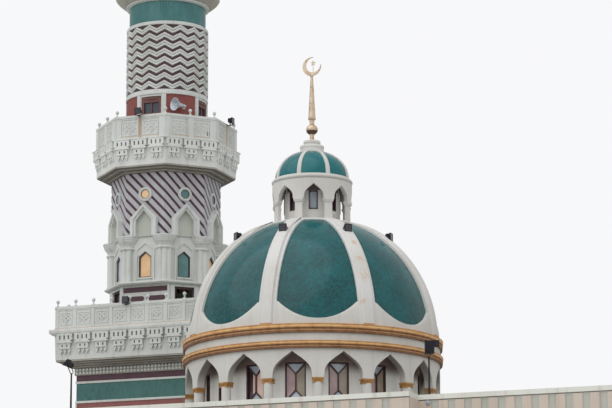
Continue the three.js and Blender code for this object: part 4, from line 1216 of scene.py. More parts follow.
def floodlight_head():
    """A square lamp that looks outwards, its ribbed housing narrowing to the back."""
    form = Form().block(-0.135, 0.135, -0.13, 0.07, 0.01, 0.27)
    form.points = [(x * 0.55, y, 0.09 + z * 0.55) if y > 0 else (x, y, z) for x, y, z in form.points]
    for i in range(5):
        x = -0.09 + 0.045 * i
        form.block(x - 0.006, x + 0.006, -0.1, 0.05, 0.1, 0.262)
    form.block(-0.145, 0.145, 0.068, 0.092, 0.0, 0.285)
    opening = [box_outline(-0.118, 0.118, 0.027, 0.258)]
    return form.plate(box_outline(-0.14, 0.14, 0.005, 0.28), 0.09, 0.102, opening)


def floodlight(arm=0.0):
    """The lamp on its bracket, with an arm that runs back to what carries it."""
    form = floodlight_head()
    for x in (-0.158, 0.146):
        form.block(x, x + 0.012, -0.02, 0.02, -0.02, 0.16)
    form.block(-0.158, 0.158, -0.02, 0.02, -0.03, -0.015)
    if arm:
        form.block(-0.03, 0.03, -arm, 0.03, -0.06, -0.028)
        return form
    return form.block(-0.03, 0.03, -0.035, 0.035, -0.09, -0.02)


def floodlight_lens():
    return Form().block(-0.12, 0.12, 0.088, 0.096, 0.025, 0.26)


def dome():
    dome_shell()
    piece("dome_rib_bands", dome_rib(), RIB_PLASTER, [MAIN_DOME, rows(RIBS)], ("dome_ribs",))
    piece("dome_base", dome_base_band(), DOME_PLASTER, [MAIN_DOME, rows(RIBS, 22.5)])
    ledge = [(LANTERN_CORE - 0.02, CROWN_FLOOR - 0.03), (CROWN_RADIUS - 0.03, CROWN_FLOOR - 0.03),
             (CROWN_RADIUS, CROWN_FLOOR), (CROWN_RADIUS, CROWN_TOP - 0.045),
             (CROWN_RADIUS - 0.025, CROWN_TOP - 0.015), (CROWN_RADIUS - 0.06, CROWN_TOP),
             (LANTERN_CORE - 0.02, CROWN_TOP)]
    piece("crown_ledge", Form().turned(ledge, 96), DOME_PLASTER)
    for name, form, finish in (("dome_floodlights", floodlight(), BLACK_METAL),
                               ("dome_floodlight_lenses", floodlight_lens(), LAMP_GLASS)):
        piece(name, form.moved(out=LIGHT_RADIUS - 0.09, up=LIGHT_FOOT), finish, [rows(RIBS)])
    outline = [(1.5, 20.2), (1.95, 20.05), (1.9, 20.22), (1.78, 20.31), (1.66, 20.35), (1.5, 20.35)]
    head = Form().profile(outline, -0.18, 0.18)
    piece("rib_heads", head, DOME_PLASTER, [rows(RIBS)])
    conduit = Form().rod([(0.2, -r, dome_height(r) + 0.1) for r in (3.0, 2.7, 2.4, 2.1, 1.85, 1.7)], 0.012, 6)
    piece("dome_light_conduits", conduit, BLACK_METAL, [rows(RIBS)])


# Lantern, small dome, finial and crescent, at a floor height and a size, on an axis


def lantern_arcade(prefix, size, floor, axis, stands_for):
    half_bay = 180 / RIBS

    def seated(form):
        return form.moved(up=floor, size=size)

    bay = arched_bay(half_bay, LANTERN_INNER, LANTERN_OUTER, LANTERN_OPENING, LANTERN_SPRING, LANTERN_APEX,
                     LANTERN_TOP)
    piece(f"{prefix}_arches", seated(bay), DOME_PLASTER, [rows(RIBS, half_bay, axis=axis)], stands_for)
    middle, thick = (LANTERN_INNER + LANTERN_OUTER) / 2, (LANTERN_OUTER - LANTERN_INNER) / 2
    top = LANTERN_CAPITAL
    pillar = Form().block(-0.14, 0.14, LANTERN_INNER + 0.01, LANTERN_OUTER - 0.03, 0.05, top + 0.01)
    pillar.block(-0.16, 0.16, LANTERN_INNER - 0.01, LANTERN_OUTER - 0.01, 0.0, 0.07)
    for half, low, high in ((0.155, 0.0, 0.03), (0.168, 0.025, 0.075), (0.182, 0.07, 0.142)):
        depth = thick + half - 0.156
        pillar.block(-half, half, middle - depth, middle + depth, top + low, top + high)
    piece(f"{prefix}_columns", seated(pillar), DOME_PLASTER, [rows(RIBS, axis=axis)])
    profile = raised([(0, 0.0), (1.4, 0.0), (1.44, 0.012), (1.49, 0.04), (1.512, 0.075), (1.512, 0.11),
                      (1.495, 0.13), (1.46, 0.14)], LANTERN_TOP)
    cornice = Form().turned([*profile, (1.44, SMALL_DOME_BASE), (0, SMALL_DOME_BASE)], 96)
    replaced = ("lantern_cornice",) if prefix == "lantern" else ()
    placed = seated(cornice).moved(axis[0], -axis[1])
    piece(f"{prefix}_moulding", placed, DOME_PLASTER, stands_for=replaced)


def lantern_core():
    width, sill, top = LANTERN_WINDOW
    floor, half_bay = LANTERN_FLOOR, 180 / RIBS
    sill, top, ceiling = floor + sill, floor + top, floor + LANTERN_TOP
    jamb = math.degrees(math.asin(width / 2 / LANTERN_CORE))
    bays = [rows(RIBS, half_bay)]
    wall = windowed_bay(half_bay, jamb, 0.88, LANTERN_CORE, (floor - 0.1, sill, top, ceiling), 8)
    piece("lantern_wall", wall, DOME_PLASTER, bays, ("lantern_core",))
    half, out, bar = width / 2 + 0.0165, LANTERN_CORE - 0.04, 0.0415
    opening = [box_outline(-half + bar, half - bar, sill + 0.025, top - 0.025)]
    bars = Form().plate(box_outline(-half, half, sill - 0.02, top + 0.02), out - 0.04, out + 0.05, opening)
    piece("lantern_window_frames", bars, FRAME_PAINT, bays)
    pane = Form().block(-half + 0.01, half - 0.01, out - 0.04, out - 0.02, sill, top)
    piece("lantern_pale_panes", pane, BLUE_GLASS, [rows(4, 22.5)], ("lantern_glass",))
    piece("lantern_dark_panes", pane, MAROON_GLASS, [rows(4, 67.5)])
    # Dark plaster on the core wall above the windows, under the arch heads: painted shade.
    head = Form().curved_block(-19.0, 19.0, 0.95, LANTERN_CORE + 0.006, top + 0.03, ceiling - 0.01, 8)
    piece("lantern_painted_shade_heads", head, PAINTED_SHADE_PLASTER, bays)


def small_dome(prefix, size, floor, axis, stands_for):
    """A low ribbed dome with the plinth that carries the finial."""
    last = math.acos(0.44 / SMALL_RADIUS)
    steps = 24
    rib_profile = ((-1, 0.0), (-0.9, 0.04), (-0.7, 0.045), (0.7, 0.045), (0.9, 0.04), (1, 0.0))

    def spot(turn, proud):
        height = SMALL_DOME_BASE + (SMALL_RISE + proud) * math.sin(turn)
        return ((SMALL_RADIUS + proud) * math.cos(turn), height)

    def shell(i, k, side):
        radius, height = spot(last * k, 0.0 if side else -0.11)
        angle = math.pi * (2 * i - 1)
        return (radius * math.sin(angle), -radius * math.cos(angle), height if k or side else SMALL_DOME_BASE)

    def tile(i, k):
        return (math.pi * (2 * i - 1) * spot(last * k, 0)[0] * size, last * k * SMALL_RADIUS * size)

    def rib(i, k, side):
        across, proud = rib_profile[round(i * 5)]
        radius, height = spot(last * k, proud if side else -0.02)
        angle = math.asin(0.084 * (1 - 0.3 * k) * across / radius)
        return (radius * math.sin(angle), -radius * math.cos(angle), height)

    def seated(form):
        return form.moved(axis[0], -axis[1], floor, size=size)

    skin = seated(Form().grid(72, steps, shell, False, tile))
    piece(f"{prefix}_dome_panels", skin, DOME_TILES, [rows()], stands_for[:1])
    ribs = Form().grid(5, steps, rib, True).moved(up=floor, size=size)
    piece(f"{prefix}_dome_rib_bands", ribs, DOME_PLASTER, [rows(RIBS, axis=axis)], stands_for[1:2])
    top = SMALL_DOME_BASE + SMALL_RISE * math.sin(last)
    foot = raised([(0, -0.01), (0.49, -0.01), (0.485, 0.04), (0.44, 0.05), (0.44, 0.18), (0.455, 0.195)], top)
    plinth = [(0.45, 3.02), (0.43, 3.05), (0.3, 3.065), (0.272, 3.085), (0.272, 3.115), (0.3, 3.14),
              (0.32, 3.155), (0.32, 3.21), (0.3, 3.24), (0.24, FINIAL_FOOT), (0, FINIAL_FOOT)]
    piece(f"{prefix}_dome_plinth", seated(Form().turned([*foot, *plinth], 48)), DOME_PLASTER)


def crescent(form, centre):
    """A thin crescent that leans to one side: a circle without a smaller one shifted towards its opening."""
    lean, outer, inner, shift = math.pi / 4, 0.362, 0.296, 0.085
    reach = (outer * outer - inner * inner + shift * shift) / (2 * shift)
    wide, narrow = math.acos(reach / outer), math.acos((reach - shift) / inner)
    steps = 36
    around = [lean + wide + (2 * math.pi - 2 * wide) * i / steps for i in range(steps + 1)]
    back = [lean - narrow + 2 * math.pi - (2 * math.pi - 2 * narrow) * i / steps for i in range(1, steps)]
    across, up = shift * math.cos(lean), centre + shift * math.sin(lean)
    inside = [(across + inner * math.cos(a), up + inner * math.sin(a)) for a in back]
    form.plate(arc(outer, outer, centre, around) + inside, -0.03, 0.03)
    return centre - outer


def finial(prefix, size, floor, axis, stands_for):
    """Neck, ball, flanges and a long cone, with a thin bead at each change, then the crescent and star."""

    def seated(form):
        return form.moved(axis[0], -axis[1], floor, size=size)

    ball = arc(0.222, 0.2, 0.443, [math.radians(d) for d in range(-66, 67, 11)])
    neck = [(0, 0), (0.11, 0), (0.105, 0.02), (0.085, 0.06), (0.08, 0.14), (0.08, 0.22), (0.1, 0.235),
            (0.1, 0.25)]
    cone = [(0.094, 0.635), (0.09, 0.66), (0.09, 0.74), (0.098, 0.81), (0.14, 0.826), (0.145, 0.85),
            (0.145, 0.893), (0.135, 0.9), (0.133, 0.92), (0.048, 2.51), (0, 2.51)]
    gilt = seated(Form().turned([*neck, *ball, *cone], 40))
    piece(f"{prefix}_finial", gilt, GILDED, stands_for=stands_for[:1], sharp=40.0)
    # A dark cup over the lower half of the gilt ball: painted shade.
    cup = arc(0.226, 0.204, 0.443, [math.radians(d) for d in range(-64, -15, 8)])
    shade = seated(Form().turned([*cup, (0.1, 0.38), (0.085, 0.28)], 40))
    piece(f"{prefix}_finial_painted_shade_cup", shade, PAINTED_SHADE_BRONZE, sharp=40.0)
    centre = 2.893
    moon = Form()
    lowest = crescent(moon, centre)
    x, up = 0.055, centre + 0.125
    points = [(0.046 if i % 2 else 0.11, math.pi / 2 + i * math.pi / 5) for i in range(10)]
    moon.plate([(x + radius * math.cos(a), up + radius * math.sin(a)) for radius, a in points], -0.02, 0.02)
    moon.block(x - 0.01, x + 0.01, -0.01, 0.01, lowest + 0.06, up)
    moon.turned([(0, 2.5), (0.06, 2.5), (0.066, 2.53), (0.05, 2.57), (0, 2.58)], 20)
    piece(f"{prefix}_crescent", seated(moon), GILDED, stands_for=stands_for[1:2])


def lanterns():
    centre = (0.0, 0.0, 0.0)
    lantern_arcade("lantern", 1.0, LANTERN_FLOOR, centre, ("lantern_arcade",))
    lantern_core()
    small_dome("lantern", 1.0, LANTERN_FLOOR, centre, ("lantern_dome", "lantern_dome_ribs"))
    finial("lantern", 1.0, LANTERN_FLOOR + FINIAL_FOOT, centre, ("dome_finial", "crescent_and_star"))
    top = ("minaret_lantern", TOP_SIZE, TOP_FLOOR, MINARET_AXIS)
    lantern_arcade(*top, ("top_lantern",))
    small_dome(*top, ("top_dome", "top_dome_ribs"))
    finial("minaret_lantern", TOP_SIZE, TOP_FLOOR + FINIAL_FOOT * TOP_SIZE, MINARET_AXIS,
           ("top_finial", "top_crescent"))


# Minaret


def gabled(half, bottom, eaves, peak):
    return [(-half, bottom), (half, bottom), (half, eaves), (0.0, peak), (-half, eaves)]


def square_ring(profile):
    """A ring of square plan; its profile gives half widths and heights."""
    return Form().turned([(half * math.sqrt(2), height) for half, height in profile], 4, math.pi / 4)


def octagon_ring(profile):
    """A ring of octagonal plan; its profile gives corner distances and heights."""
    return Form().turned(profile, 8, EIGHTH)


def bands(ring, *sizes):
    """Level bands in one form, each given by its reach, bottom, top and depth."""
    form = Form()
    for reach, bottom, top, depth in sizes:
        form.join(ring([(reach, bottom), (reach, top), (reach - depth, top), (reach - depth, bottom)]))
    return form


def minaret_base():
    painted(BAND_PAINT, "minaret_shaft")
    tiles = bands(square_ring, (SHAFT_HALF, TILES_BOTTOM, TILES_TOP, 0.35))
    minaret_piece("minaret_tiles", tiles, BAND_TILES, ("minaret_tile_band",))
    levels = ((SHAFT_TOP, TILES_BOTTOM), (TILES_TOP, BAND_TOP), (12.0, 12.1), (8.0, 8.1), (4.0, 4.1))
    trims = bands(square_ring, *[(SHAFT_HALF + 0.035, bottom, top, 0.36) for bottom, top in levels])
    for x in (-SHAFT_HALF, SHAFT_HALF):
        for out in (SHAFT_HALF, -SHAFT_HALF):
            trims.block(x - 0.03, x + 0.03, out - 0.03, out + 0.03, 0.9, SHAFT_TOP)
    minaret_piece("minaret_white_strips", trims)
    face = SHAFT_HALF + 0.05
    base = bands(square_ring, (face, 0.0, 0.15, 0.1))
    back = SHAFT_HALF - BEDDED
    base.join(at_bearings(lambda: Form().block(-face, face, back, face, 0.15, 0.9), (0, 90, 180)))
    minaret_piece("minaret_base_course", base, BASE_STONE)
    moulding = Form().plate(pointed(1.56, 0.15, 2.2, 3.1), SHAFT_HALF - BEDDED, SHAFT_HALF + 0.06,
                            [pointed(1.2, 0.15, 2.2, 2.9)])
    minaret_piece("minaret_door_moulding", moulding, first=270)


UNIT_SLOTS = [(x - 0.034, x + 0.034, -0.29, -0.11) for x in (-0.2, 0.0, 0.2)]
UNIT_LOWER_SLOTS = [(x - 0.03, x + 0.03, -0.61, -0.5) for x in (-0.11, 0.11)]


def hanging_unit(width):
    """One unit of a carved frieze, hung from its top at height 0: a slotted block over two smaller tiers."""
    half = width / 2
    notched = [(-half, 0.0), (-half, -0.31), (-half + 0.07, -0.33), (-half + 0.07, -0.37), (-half, -0.39),
               (-half, -0.43)]
    outline = notched + [(-x, z) for x, z in reversed(notched)]
    form = Form().plate(outline, -0.1, 0.16, [box_outline(*slot) for slot in UNIT_SLOTS])
    lower = [box_outline(*slot) for slot in UNIT_LOWER_SLOTS]
    form.plate(box_outline(-0.25, 0.25, -0.68, -0.43), -0.1, 0.11, lower)
    drop = [(-0.07, -0.67), (-0.07, -0.77), (-0.03, -0.81), (0.0, -0.91), (0.03, -0.81), (0.07, -0.77),
            (0.07, -0.67)]
    for middle in (-0.19, 0.0, 0.19):
        form.plate([(middle + x, z) for x, z in drop], -0.1, 0.06)
    return form


def slot_painted_shade():
    """Dark plates behind a frieze unit's slots: painted shade."""
    form = Form()
    for left, right, bottom, top in UNIT_SLOTS + UNIT_LOWER_SLOTS:
        form.block(left - 0.004, right + 0.004, -0.05, 0.045, bottom - 0.004, top + 0.004)
    return form


def relief_panel(width, height):
    """A carved parapet panel: a raised frame, a lattice of diagonals, a ring and four leaves."""
    half, tall = width / 2, height / 2
    form = Form().plate(box_outline(-half, half, -tall, tall), 0.0, 0.021,
                        [box_outline(-half + 0.05, half - 0.05, -tall + 0.05, tall - 0.05)])
    side, rise = half - 0.07, tall - 0.07
    diamond = [(-side, 0), (0, rise), (side, 0), (0, -rise), (-side, 0)]
    cross = (((-side, -rise), (side, rise)), ((-side, rise), (side, -rise)))
    for start, end in (*cross, *zip(diamond, diamond[1:])):
        form.strip(start, end, 0.03, 0.0, 0.014)
    form.plate(circle(0.1, 0.0, 16), 0.0, 0.02, [circle(0.055, 0.0, 16)])
    leaf = 0.045
    for x, z in ((side * 0.55, 0), (-side * 0.55, 0), (0, rise * 0.6), (0, -rise * 0.6)):
        form.plate([(x - leaf, z), (x, z - leaf), (x + leaf, z), (x, z + leaf)], 0.0, 0.019)
    return form


def post_ball(form, x, out, rail):
    """A short turned post with a ball, standing on a parapet's rail."""
    post = raised([(0, 0.0), (0.075, 0.0), (0.075, 0.03), (0.03, 0.06), (0.026, 0.12), (0.05, 0.14),
                   (0.03, 0.155), (0, 0.155)], rail)
    return form.turned(post, 12, across=x, out=out).ball(0.078, x, out, rail + 0.215)


def lower_balcony():
    low, top = BAND_TOP + 0.26, 17.43
    steps = ((3.0, 17.145, 17.21, 0.12), (3.15, 17.215, 17.28, 0.15), (3.31, 17.285, 17.36, 0.16),
             (3.48, 17.365, top, 0.17))
    stepped = [(half, height) for half, bottom, high, _ in steps for height in (bottom, high)]
    body = square_ring([(SHAFT_HALF, low), (2.88, low), (2.88, 17.14), *stepped, (2.5, top), (2.5, low)])
    # The stepped mouldings under the lower balcony are darkened with painted shade.
    minaret_piece("lower_balcony_mouldings", body, SHADED_SOFFIT_PLASTER, ("lower_balcony",))
    minaret_piece("lower_frieze_wall", square_ring([(3.5, top), (3.53, 18.5), (2.5, 18.5), (2.5, top)]))
    row, hung = {"sides": 4, "across": 8, "pitch": PARAPET_PITCH}, (-0.1, 3.53, 18.56)
    minaret_piece("lower_frieze_units", hanging_unit(0.72).moved(*hung), **row)
    # Dark plates behind the lower frieze's slots: painted shade.
    minaret_piece("lower_frieze_painted_shade", slot_painted_shade().moved(*hung), PAINTED_SHADE_PLASTER, **row)
    # Dark bands under each step of the soffit: painted shade.
    painted_shade_bands = bands(square_ring, *[(half - 0.004, bottom - 0.009, bottom + 0.002, depth)
                                for half, bottom, _, depth in steps])
    minaret_piece("lower_soffit_painted_shade", painted_shade_bands, SOFFIT_SHADE)
    bead = Form()
    for foot in (16.87, 17.01):
        outline = [(-0.052, 0.0), (0.052, 0.0), (0.052, 0.06), (0.0, 0.11), (-0.052, 0.06)]
        bead.plate(raised(outline, foot), 2.87, 2.93)
    minaret_piece("lower_carved_row", bead, sides=4, across=36, pitch=0.158)
    maroon = bands(square_ring, (SHAFT_HALF + 0.005, BAND_TOP, 16.83, 0.36))
    minaret_piece("lower_maroon_band", maroon, MAROON_PAINT)
    slab = square_ring([
        (3.62, 18.48), (3.66, 18.52), (3.71, 18.55), (BALCONY_HALF, 18.6), (BALCONY_HALF, 18.69),
        (3.71, 18.72), (1.5, BALCONY_FLOOR), (1.5, 18.5),
    ])
    minaret_piece("lower_slab", slab)
    lower_parapet()


def lower_parapet():
    minaret_piece("lower_parapet_foot", bands(square_ring, (3.55, 18.7, 18.79, 0.16)), BEIGE_PLASTER)
    wall = bands(square_ring, (3.505, 18.72, 19.62, 0.1), (3.53, 18.76, 18.84, 0.14),
                 (3.53, 19.54, 19.6, 0.14), (3.55, 19.6, 19.68, 0.17), (3.535, 19.675, 19.72, 0.15))
    minaret_piece("lower_parapet_wall", wall, stands_for=("lower_parapet",))
    pitch, shift = PARAPET_PITCH, -0.11
    panel = relief_panel(0.57, 0.54).moved(shift, 3.503, 19.19)
    minaret_piece("lower_parapet_panels", panel, sides=4, across=8, pitch=pitch)
    post = Form().block(shift - 0.075, shift + 0.075, 3.38, 3.535, 18.8, 19.6)
    minaret_piece("lower_parapet_posts", post, sides=4, across=9, pitch=pitch)
    knob = post_ball(Form(), shift - pitch / 2, 3.45, 19.72)
    minaret_piece("lower_parapet_balls", knob, sides=4, across=8, pitch=pitch)
    spot = (-0.21, 3.62, 19.66)
    minaret_piece("lower_floodlight", floodlight(0.16).moved(*spot), BLACK_METAL)
    minaret_piece("lower_floodlight_lens", floodlight_lens().moved(*spot), LAMP_GLASS)


def gallery():
    """The stage behind the lower balcony: banded faces on the axes, doorways on the narrower diagonals."""
    half, floor = GALLERY_HALF, BALCONY_FLOOR
    plain = Form().block(-half, half, GALLERY_FRONT - 0.25, GALLERY_FRONT - 0.02, floor, GALLERY_TOP)
    minaret_piece("gallery_banded_faces", plain, stands_for=("gallery_stage",), sides=4)
    maroon = Form()
    near, far = GALLERY_FRONT - 0.05, GALLERY_FRONT - 0.005
    half_turn = [math.pi * i / 6 for i in range(7)]
    for bottom in (20.386, 19.62, 18.86):
        maroon.block(-half + 0.02, half - 0.02, near, far, bottom, bottom + 2 * BAR_ROUND)
    for bottom in (19.998, 19.24):
        for middle in (-0.49, 0.49):
            ends = [(middle + side * (0.333 + BAR_ROUND * math.sin(a)),
                     bottom + BAR_ROUND - side * BAR_ROUND * math.cos(a))
                    for side in (1, -1) for a in half_turn]
            maroon.plate(ends, near, far)
    minaret_piece("gallery_maroon_bands", maroon, MAROON_PAINT, sides=4)
    wide, out = GALLERY_DIAGONAL_HALF, GALLERY_DIAGONAL
    opening = [box_outline(-0.45, 0.45, floor + 0.02, 20.58)]
    door = Form().plate(box_outline(-wide, wide, floor, GALLERY_TOP), out - 0.4, out - 0.03, opening)
    door.plate(box_outline(-0.63, 0.63, floor, 20.66), out - 0.05, out, opening)
    diagonal = {"sides": 4, "first": 45}
    minaret_piece("gallery_doorways", door, **diagonal)
    jamb = Form().plate(box_outline(-0.45, 0.45, floor, 20.58), out - 0.22, out - 0.08,
                        [box_outline(-0.38, 0.38, floor + 0.02, 20.5)])
    minaret_piece("gallery_door_frames", jamb, FRAME_PAINT, **diagonal)
    posts = Form()
    post = [(0, floor), (0.055, floor), (0.055, GALLERY_TOP), (0, GALLERY_TOP)]
    for across in (-half + 0.02, half - 0.02):
        posts.turned(post, 12, across=across, out=GALLERY_FRONT - 0.03)
    minaret_piece("gallery_corner_posts", posts, sides=4)


def window_stage():
    apothem, half = STAGE_CORNER * FACE, STAGE_CORNER * math.sin(EIGHTH)
    bottom, back = GALLERY_TOP, apothem - BEDDED
    cornice = raised([(2.4, 0.0), (2.56, 0.0), (2.6, 0.03), (2.64, 0.05), (2.64, 0.1), (2.6, 0.129),
                      (2.0, 0.129), (2.0, 0.0)], bottom)
    minaret_piece("window_stage_cornice", octagon_ring(cornice), stands_for=("window_stage",))
    opening = gabled(0.29, 21.0, 21.9, 22.141)
    wall = Form().plate(box_outline(-half, half, bottom + 0.1, STAGE_TOP), apothem - 0.3, apothem, [opening])
    minaret_piece("window_stage_walls", wall, sides=8)
    surround = Form().plate(gabled(0.44, 20.83, 22.22, 22.56), back, apothem + 0.045,
                            [gabled(0.37, 20.84, 22.19, 22.475)])
    surround.plate([(x * 1.24, z) for x, z in opening], back, apothem + 0.02, [opening])
    surround.block(-0.34, 0.34, back, apothem + 0.06, 20.94, 21.0)
    minaret_piece("window_surrounds", surround, sides=8)
    bars = Form().plate(opening, apothem - 0.12, apothem - 0.03, [gabled(0.245, 21.045, 21.88, 22.083)])
    minaret_piece("window_stage_frames", bars, FRAME_PAINT, sides=8)
    pane = Form().plate(opening, apothem - 0.1, apothem - 0.08)
    minaret_piece("peach_panes", pane, PEACH_GLASS, ("minaret_glass",), sides=4)
    minaret_piece("green_panes", pane, GREEN_GLASS, sides=2, first=45)
    minaret_piece("pale_panes", pane, PALE_GLASS, sides=2, first=135)
    corner_shafts(bottom + 0.12, 22.24)


def corner_shafts(foot, top):
    """Three round shafts at each corner of the window stage, under one spreading capital."""
    cluster = Form()
    for across, out in ((0.0, 2.39), (-0.17, 2.32), (0.17, 2.32)):
        shaft = [(0, foot), (0.15, foot), (0.15, foot + 0.08), (0.133, foot + 0.12), (0.13, top), (0, top)]
        cluster.turned(shaft, 20, across=across, out=out)
    cluster.block(-0.27, 0.27, 2.0, 2.3, foot, top)
    minaret_piece("corner_shafts", cluster, sides=8, first=22.5)
    profile = ((0, 0.0), (0.33, 0.0), (0.37, 0.02), (0.385, 0.05), (0.37, 0.08), (0.33, 0.1), (0.32, 0.13),
               (0.35, 0.22), (0.41, 0.3), (0.44, 0.32), (0.44, 0.37), (0.47, 0.38), (0.47, 0.44), (0.5, 0.45),
               (0.5, 0.52), (0.53, 0.53), (0.53, 0.588), (0, 0.588))
    capital = Form().turned(raised(profile, 22.2), 24, math.pi / 24, out=2.19)
    minaret_piece("corner_capitals", capital, sides=8, first=22.5)


def clipped(points, inside, cross):
    """A polygon cut by one line."""
    kept = []
    for one, two in zip(points, points[1:] + points[:1]):
        if inside(one):
            kept.append(one)
        if inside(one) != inside(two):
            kept.append(cross(one, two))
    return kept


def cut_to_box(points, left, right, bottom, top):
    for axis, limit, sign in ((0, left, 1), (0, right, -1), (1, bottom, 1), (1, top, -1)):
        def inside(point, axis=axis, limit=limit, sign=sign):
            return sign * (point[axis] - limit) >= 0

        def cross(one, two, axis=axis, limit=limit):
            share = (limit - one[axis]) / (two[axis] - one[axis])
            return tuple(a + (b - a) * share for a, b in zip(one, two))

        points = clipped(points, inside, cross)
        if len(points) < 3:
            return []
    return points


def stripes():
    """Raised grey bands wound round the octagon, with the maroon wall between them."""
    half = STRIPED_CORNER * math.sin(EIGHTH)
    apothem = STRIPED_CORNER * FACE
    pitch = 16 * half / STRIPES_ROUND
    height = STRIPED_TOP - STAGE_TOP
    slant = height / math.tan(math.radians(46))
    band = pitch * 0.62
    form = Form()
    for face in range(8):
        side = Form()
        shift = (face * 2 * half) % pitch
        for i in range(-2, int((2 * half + slant) / pitch) + 3):
            x = -half - shift + i * pitch
            lean = [(x, STAGE_TOP), (x + band, STAGE_TOP), (x + band - slant, STRIPED_TOP),
                    (x - slant, STRIPED_TOP)]
            kept = cut_to_box(lean, -half, half, STAGE_TOP, STRIPED_TOP)
            if kept:
                side.plate(kept, apothem - 0.05, apothem + 0.02)
        form.join(side.moved(bearing=45 * face))
    return form


def striped_shaft():
    apothem, half = STRIPED_CORNER * FACE, STRIPED_CORNER * math.sin(EIGHTH)
    hole = circle(0.2, EYE_HEIGHT)
    face = box_outline(-half, half, STAGE_TOP, STRIPED_TOP)
    back = Form().plate(face, apothem - 0.3, apothem - 0.015, [hole])
    minaret_piece("striped_maroon_wall", back, MAROON_PAINT, ("striped_shaft",), sides=8)
    minaret_piece("striped_grey_bands", stripes(), STRIPE_PLASTER)
    bottom, inner = STAGE_TOP - 0.03, apothem - BEDDED
    gable, step, niche = [
        [(-wide, bottom), (-wide, eaves), (0.0, peak), (wide, eaves), (wide, bottom)]
        for wide, eaves, peak in ((0.6, 23.56, 24.181), (0.48, 23.5, 24.03), (0.37, 23.47, 23.9))
    ]
    front = Form().plate(gable + step[::-1], inner, apothem + 0.26)
    front.plate(step + niche[::-1], inner, apothem + 0.2)
    minaret_piece("gables", front, sides=8)
    minaret_piece("niche_backs", Form().plate(niche, inner, apothem + 0.03), NICHE_PLASTER, sides=8)
    eye = Form().plate(circle(0.31, EYE_HEIGHT), apothem - 0.2, apothem + 0.06, [hole])
    eye.plate(circle(0.275, EYE_HEIGHT), apothem, apothem + 0.075, [circle(0.225, EYE_HEIGHT)])
    minaret_piece("round_window_rings", eye, sides=8)
    rim = Form().plate(circle(0.205, EYE_HEIGHT), apothem, apothem + 0.045, [circle(0.175, EYE_HEIGHT)])
    minaret_piece("round_window_frames", rim, FRAME_PAINT, sides=8)
    pane = Form().plate(hole, apothem, apothem + 0.03)
    for name, finish, first in (("peach", PEACH_GLASS, 0.0), ("green", GREEN_GLASS, 45),
                                ("dark", DARK_GLASS, 90), ("grey", BLUE_GLASS, 135)):
        minaret_piece(f"round_{name}_panes", pane, finish, sides=2, first=first)


def upper_balcony():
    soffit = octagon_ring([
        (2.37, 25.563), (2.52, 25.566), (2.52, 25.635), (2.78, 25.642), (2.78, 25.715), (3.03, 25.722),
        (3.04, 25.8), (2.0, 25.8), (2.0, 25.563),
    ])
    # The stepped underside of the upper balcony is darkened with painted shade.
    minaret_piece("upper_balcony_soffit", soffit, SHADED_SOFFIT_PLASTER, ("upper_balcony",))
    edges = ((2.52, 25.568, 0.14), (2.78, 25.642, 0.26), (3.03, 25.722, 0.25))
    # Dark bands under each step of the soffit: painted shade.
    painted_shade_bands = bands(octagon_ring, *[(corner - 0.004, height - 0.009, height + 0.003, depth)
                                 for corner, height, depth in edges])
    minaret_piece("upper_soffit_painted_shade", painted_shade_bands, SOFFIT_SHADE)
    wall = octagon_ring([(3.04, 25.79), (3.09, 26.87), (2.4, 26.87), (2.4, 25.79)])
    minaret_piece("upper_frieze_wall", wall, FRIEZE_PLASTER_PAINTED_LIGHT)
    row, hung = {"sides": 8, "across": 3, "pitch": 0.8}, (0.0, 3.08 * FACE - 0.01, 26.92)
    minaret_piece("upper_frieze_units", hanging_unit(0.71).moved(*hung), FRIEZE_PLASTER_PAINTED_LIGHT, **row)
    # Dark plates behind the upper frieze's slots: painted shade.
    minaret_piece("upper_frieze_painted_shade", slot_painted_shade().moved(*hung), PAINTED_SHADE_PLASTER, **row)
    slab = octagon_ring([
        (3.2, 26.86), (3.25, 26.875), (3.26, 26.885), (3.26, 26.915), (3.24, 26.93), (1.5, UPPER_FLOOR),
        (1.5, 26.78), (2.45, 26.78), (2.45, 26.86),
    ])
    minaret_piece("upper_slab", slab)
    upper_parapet()


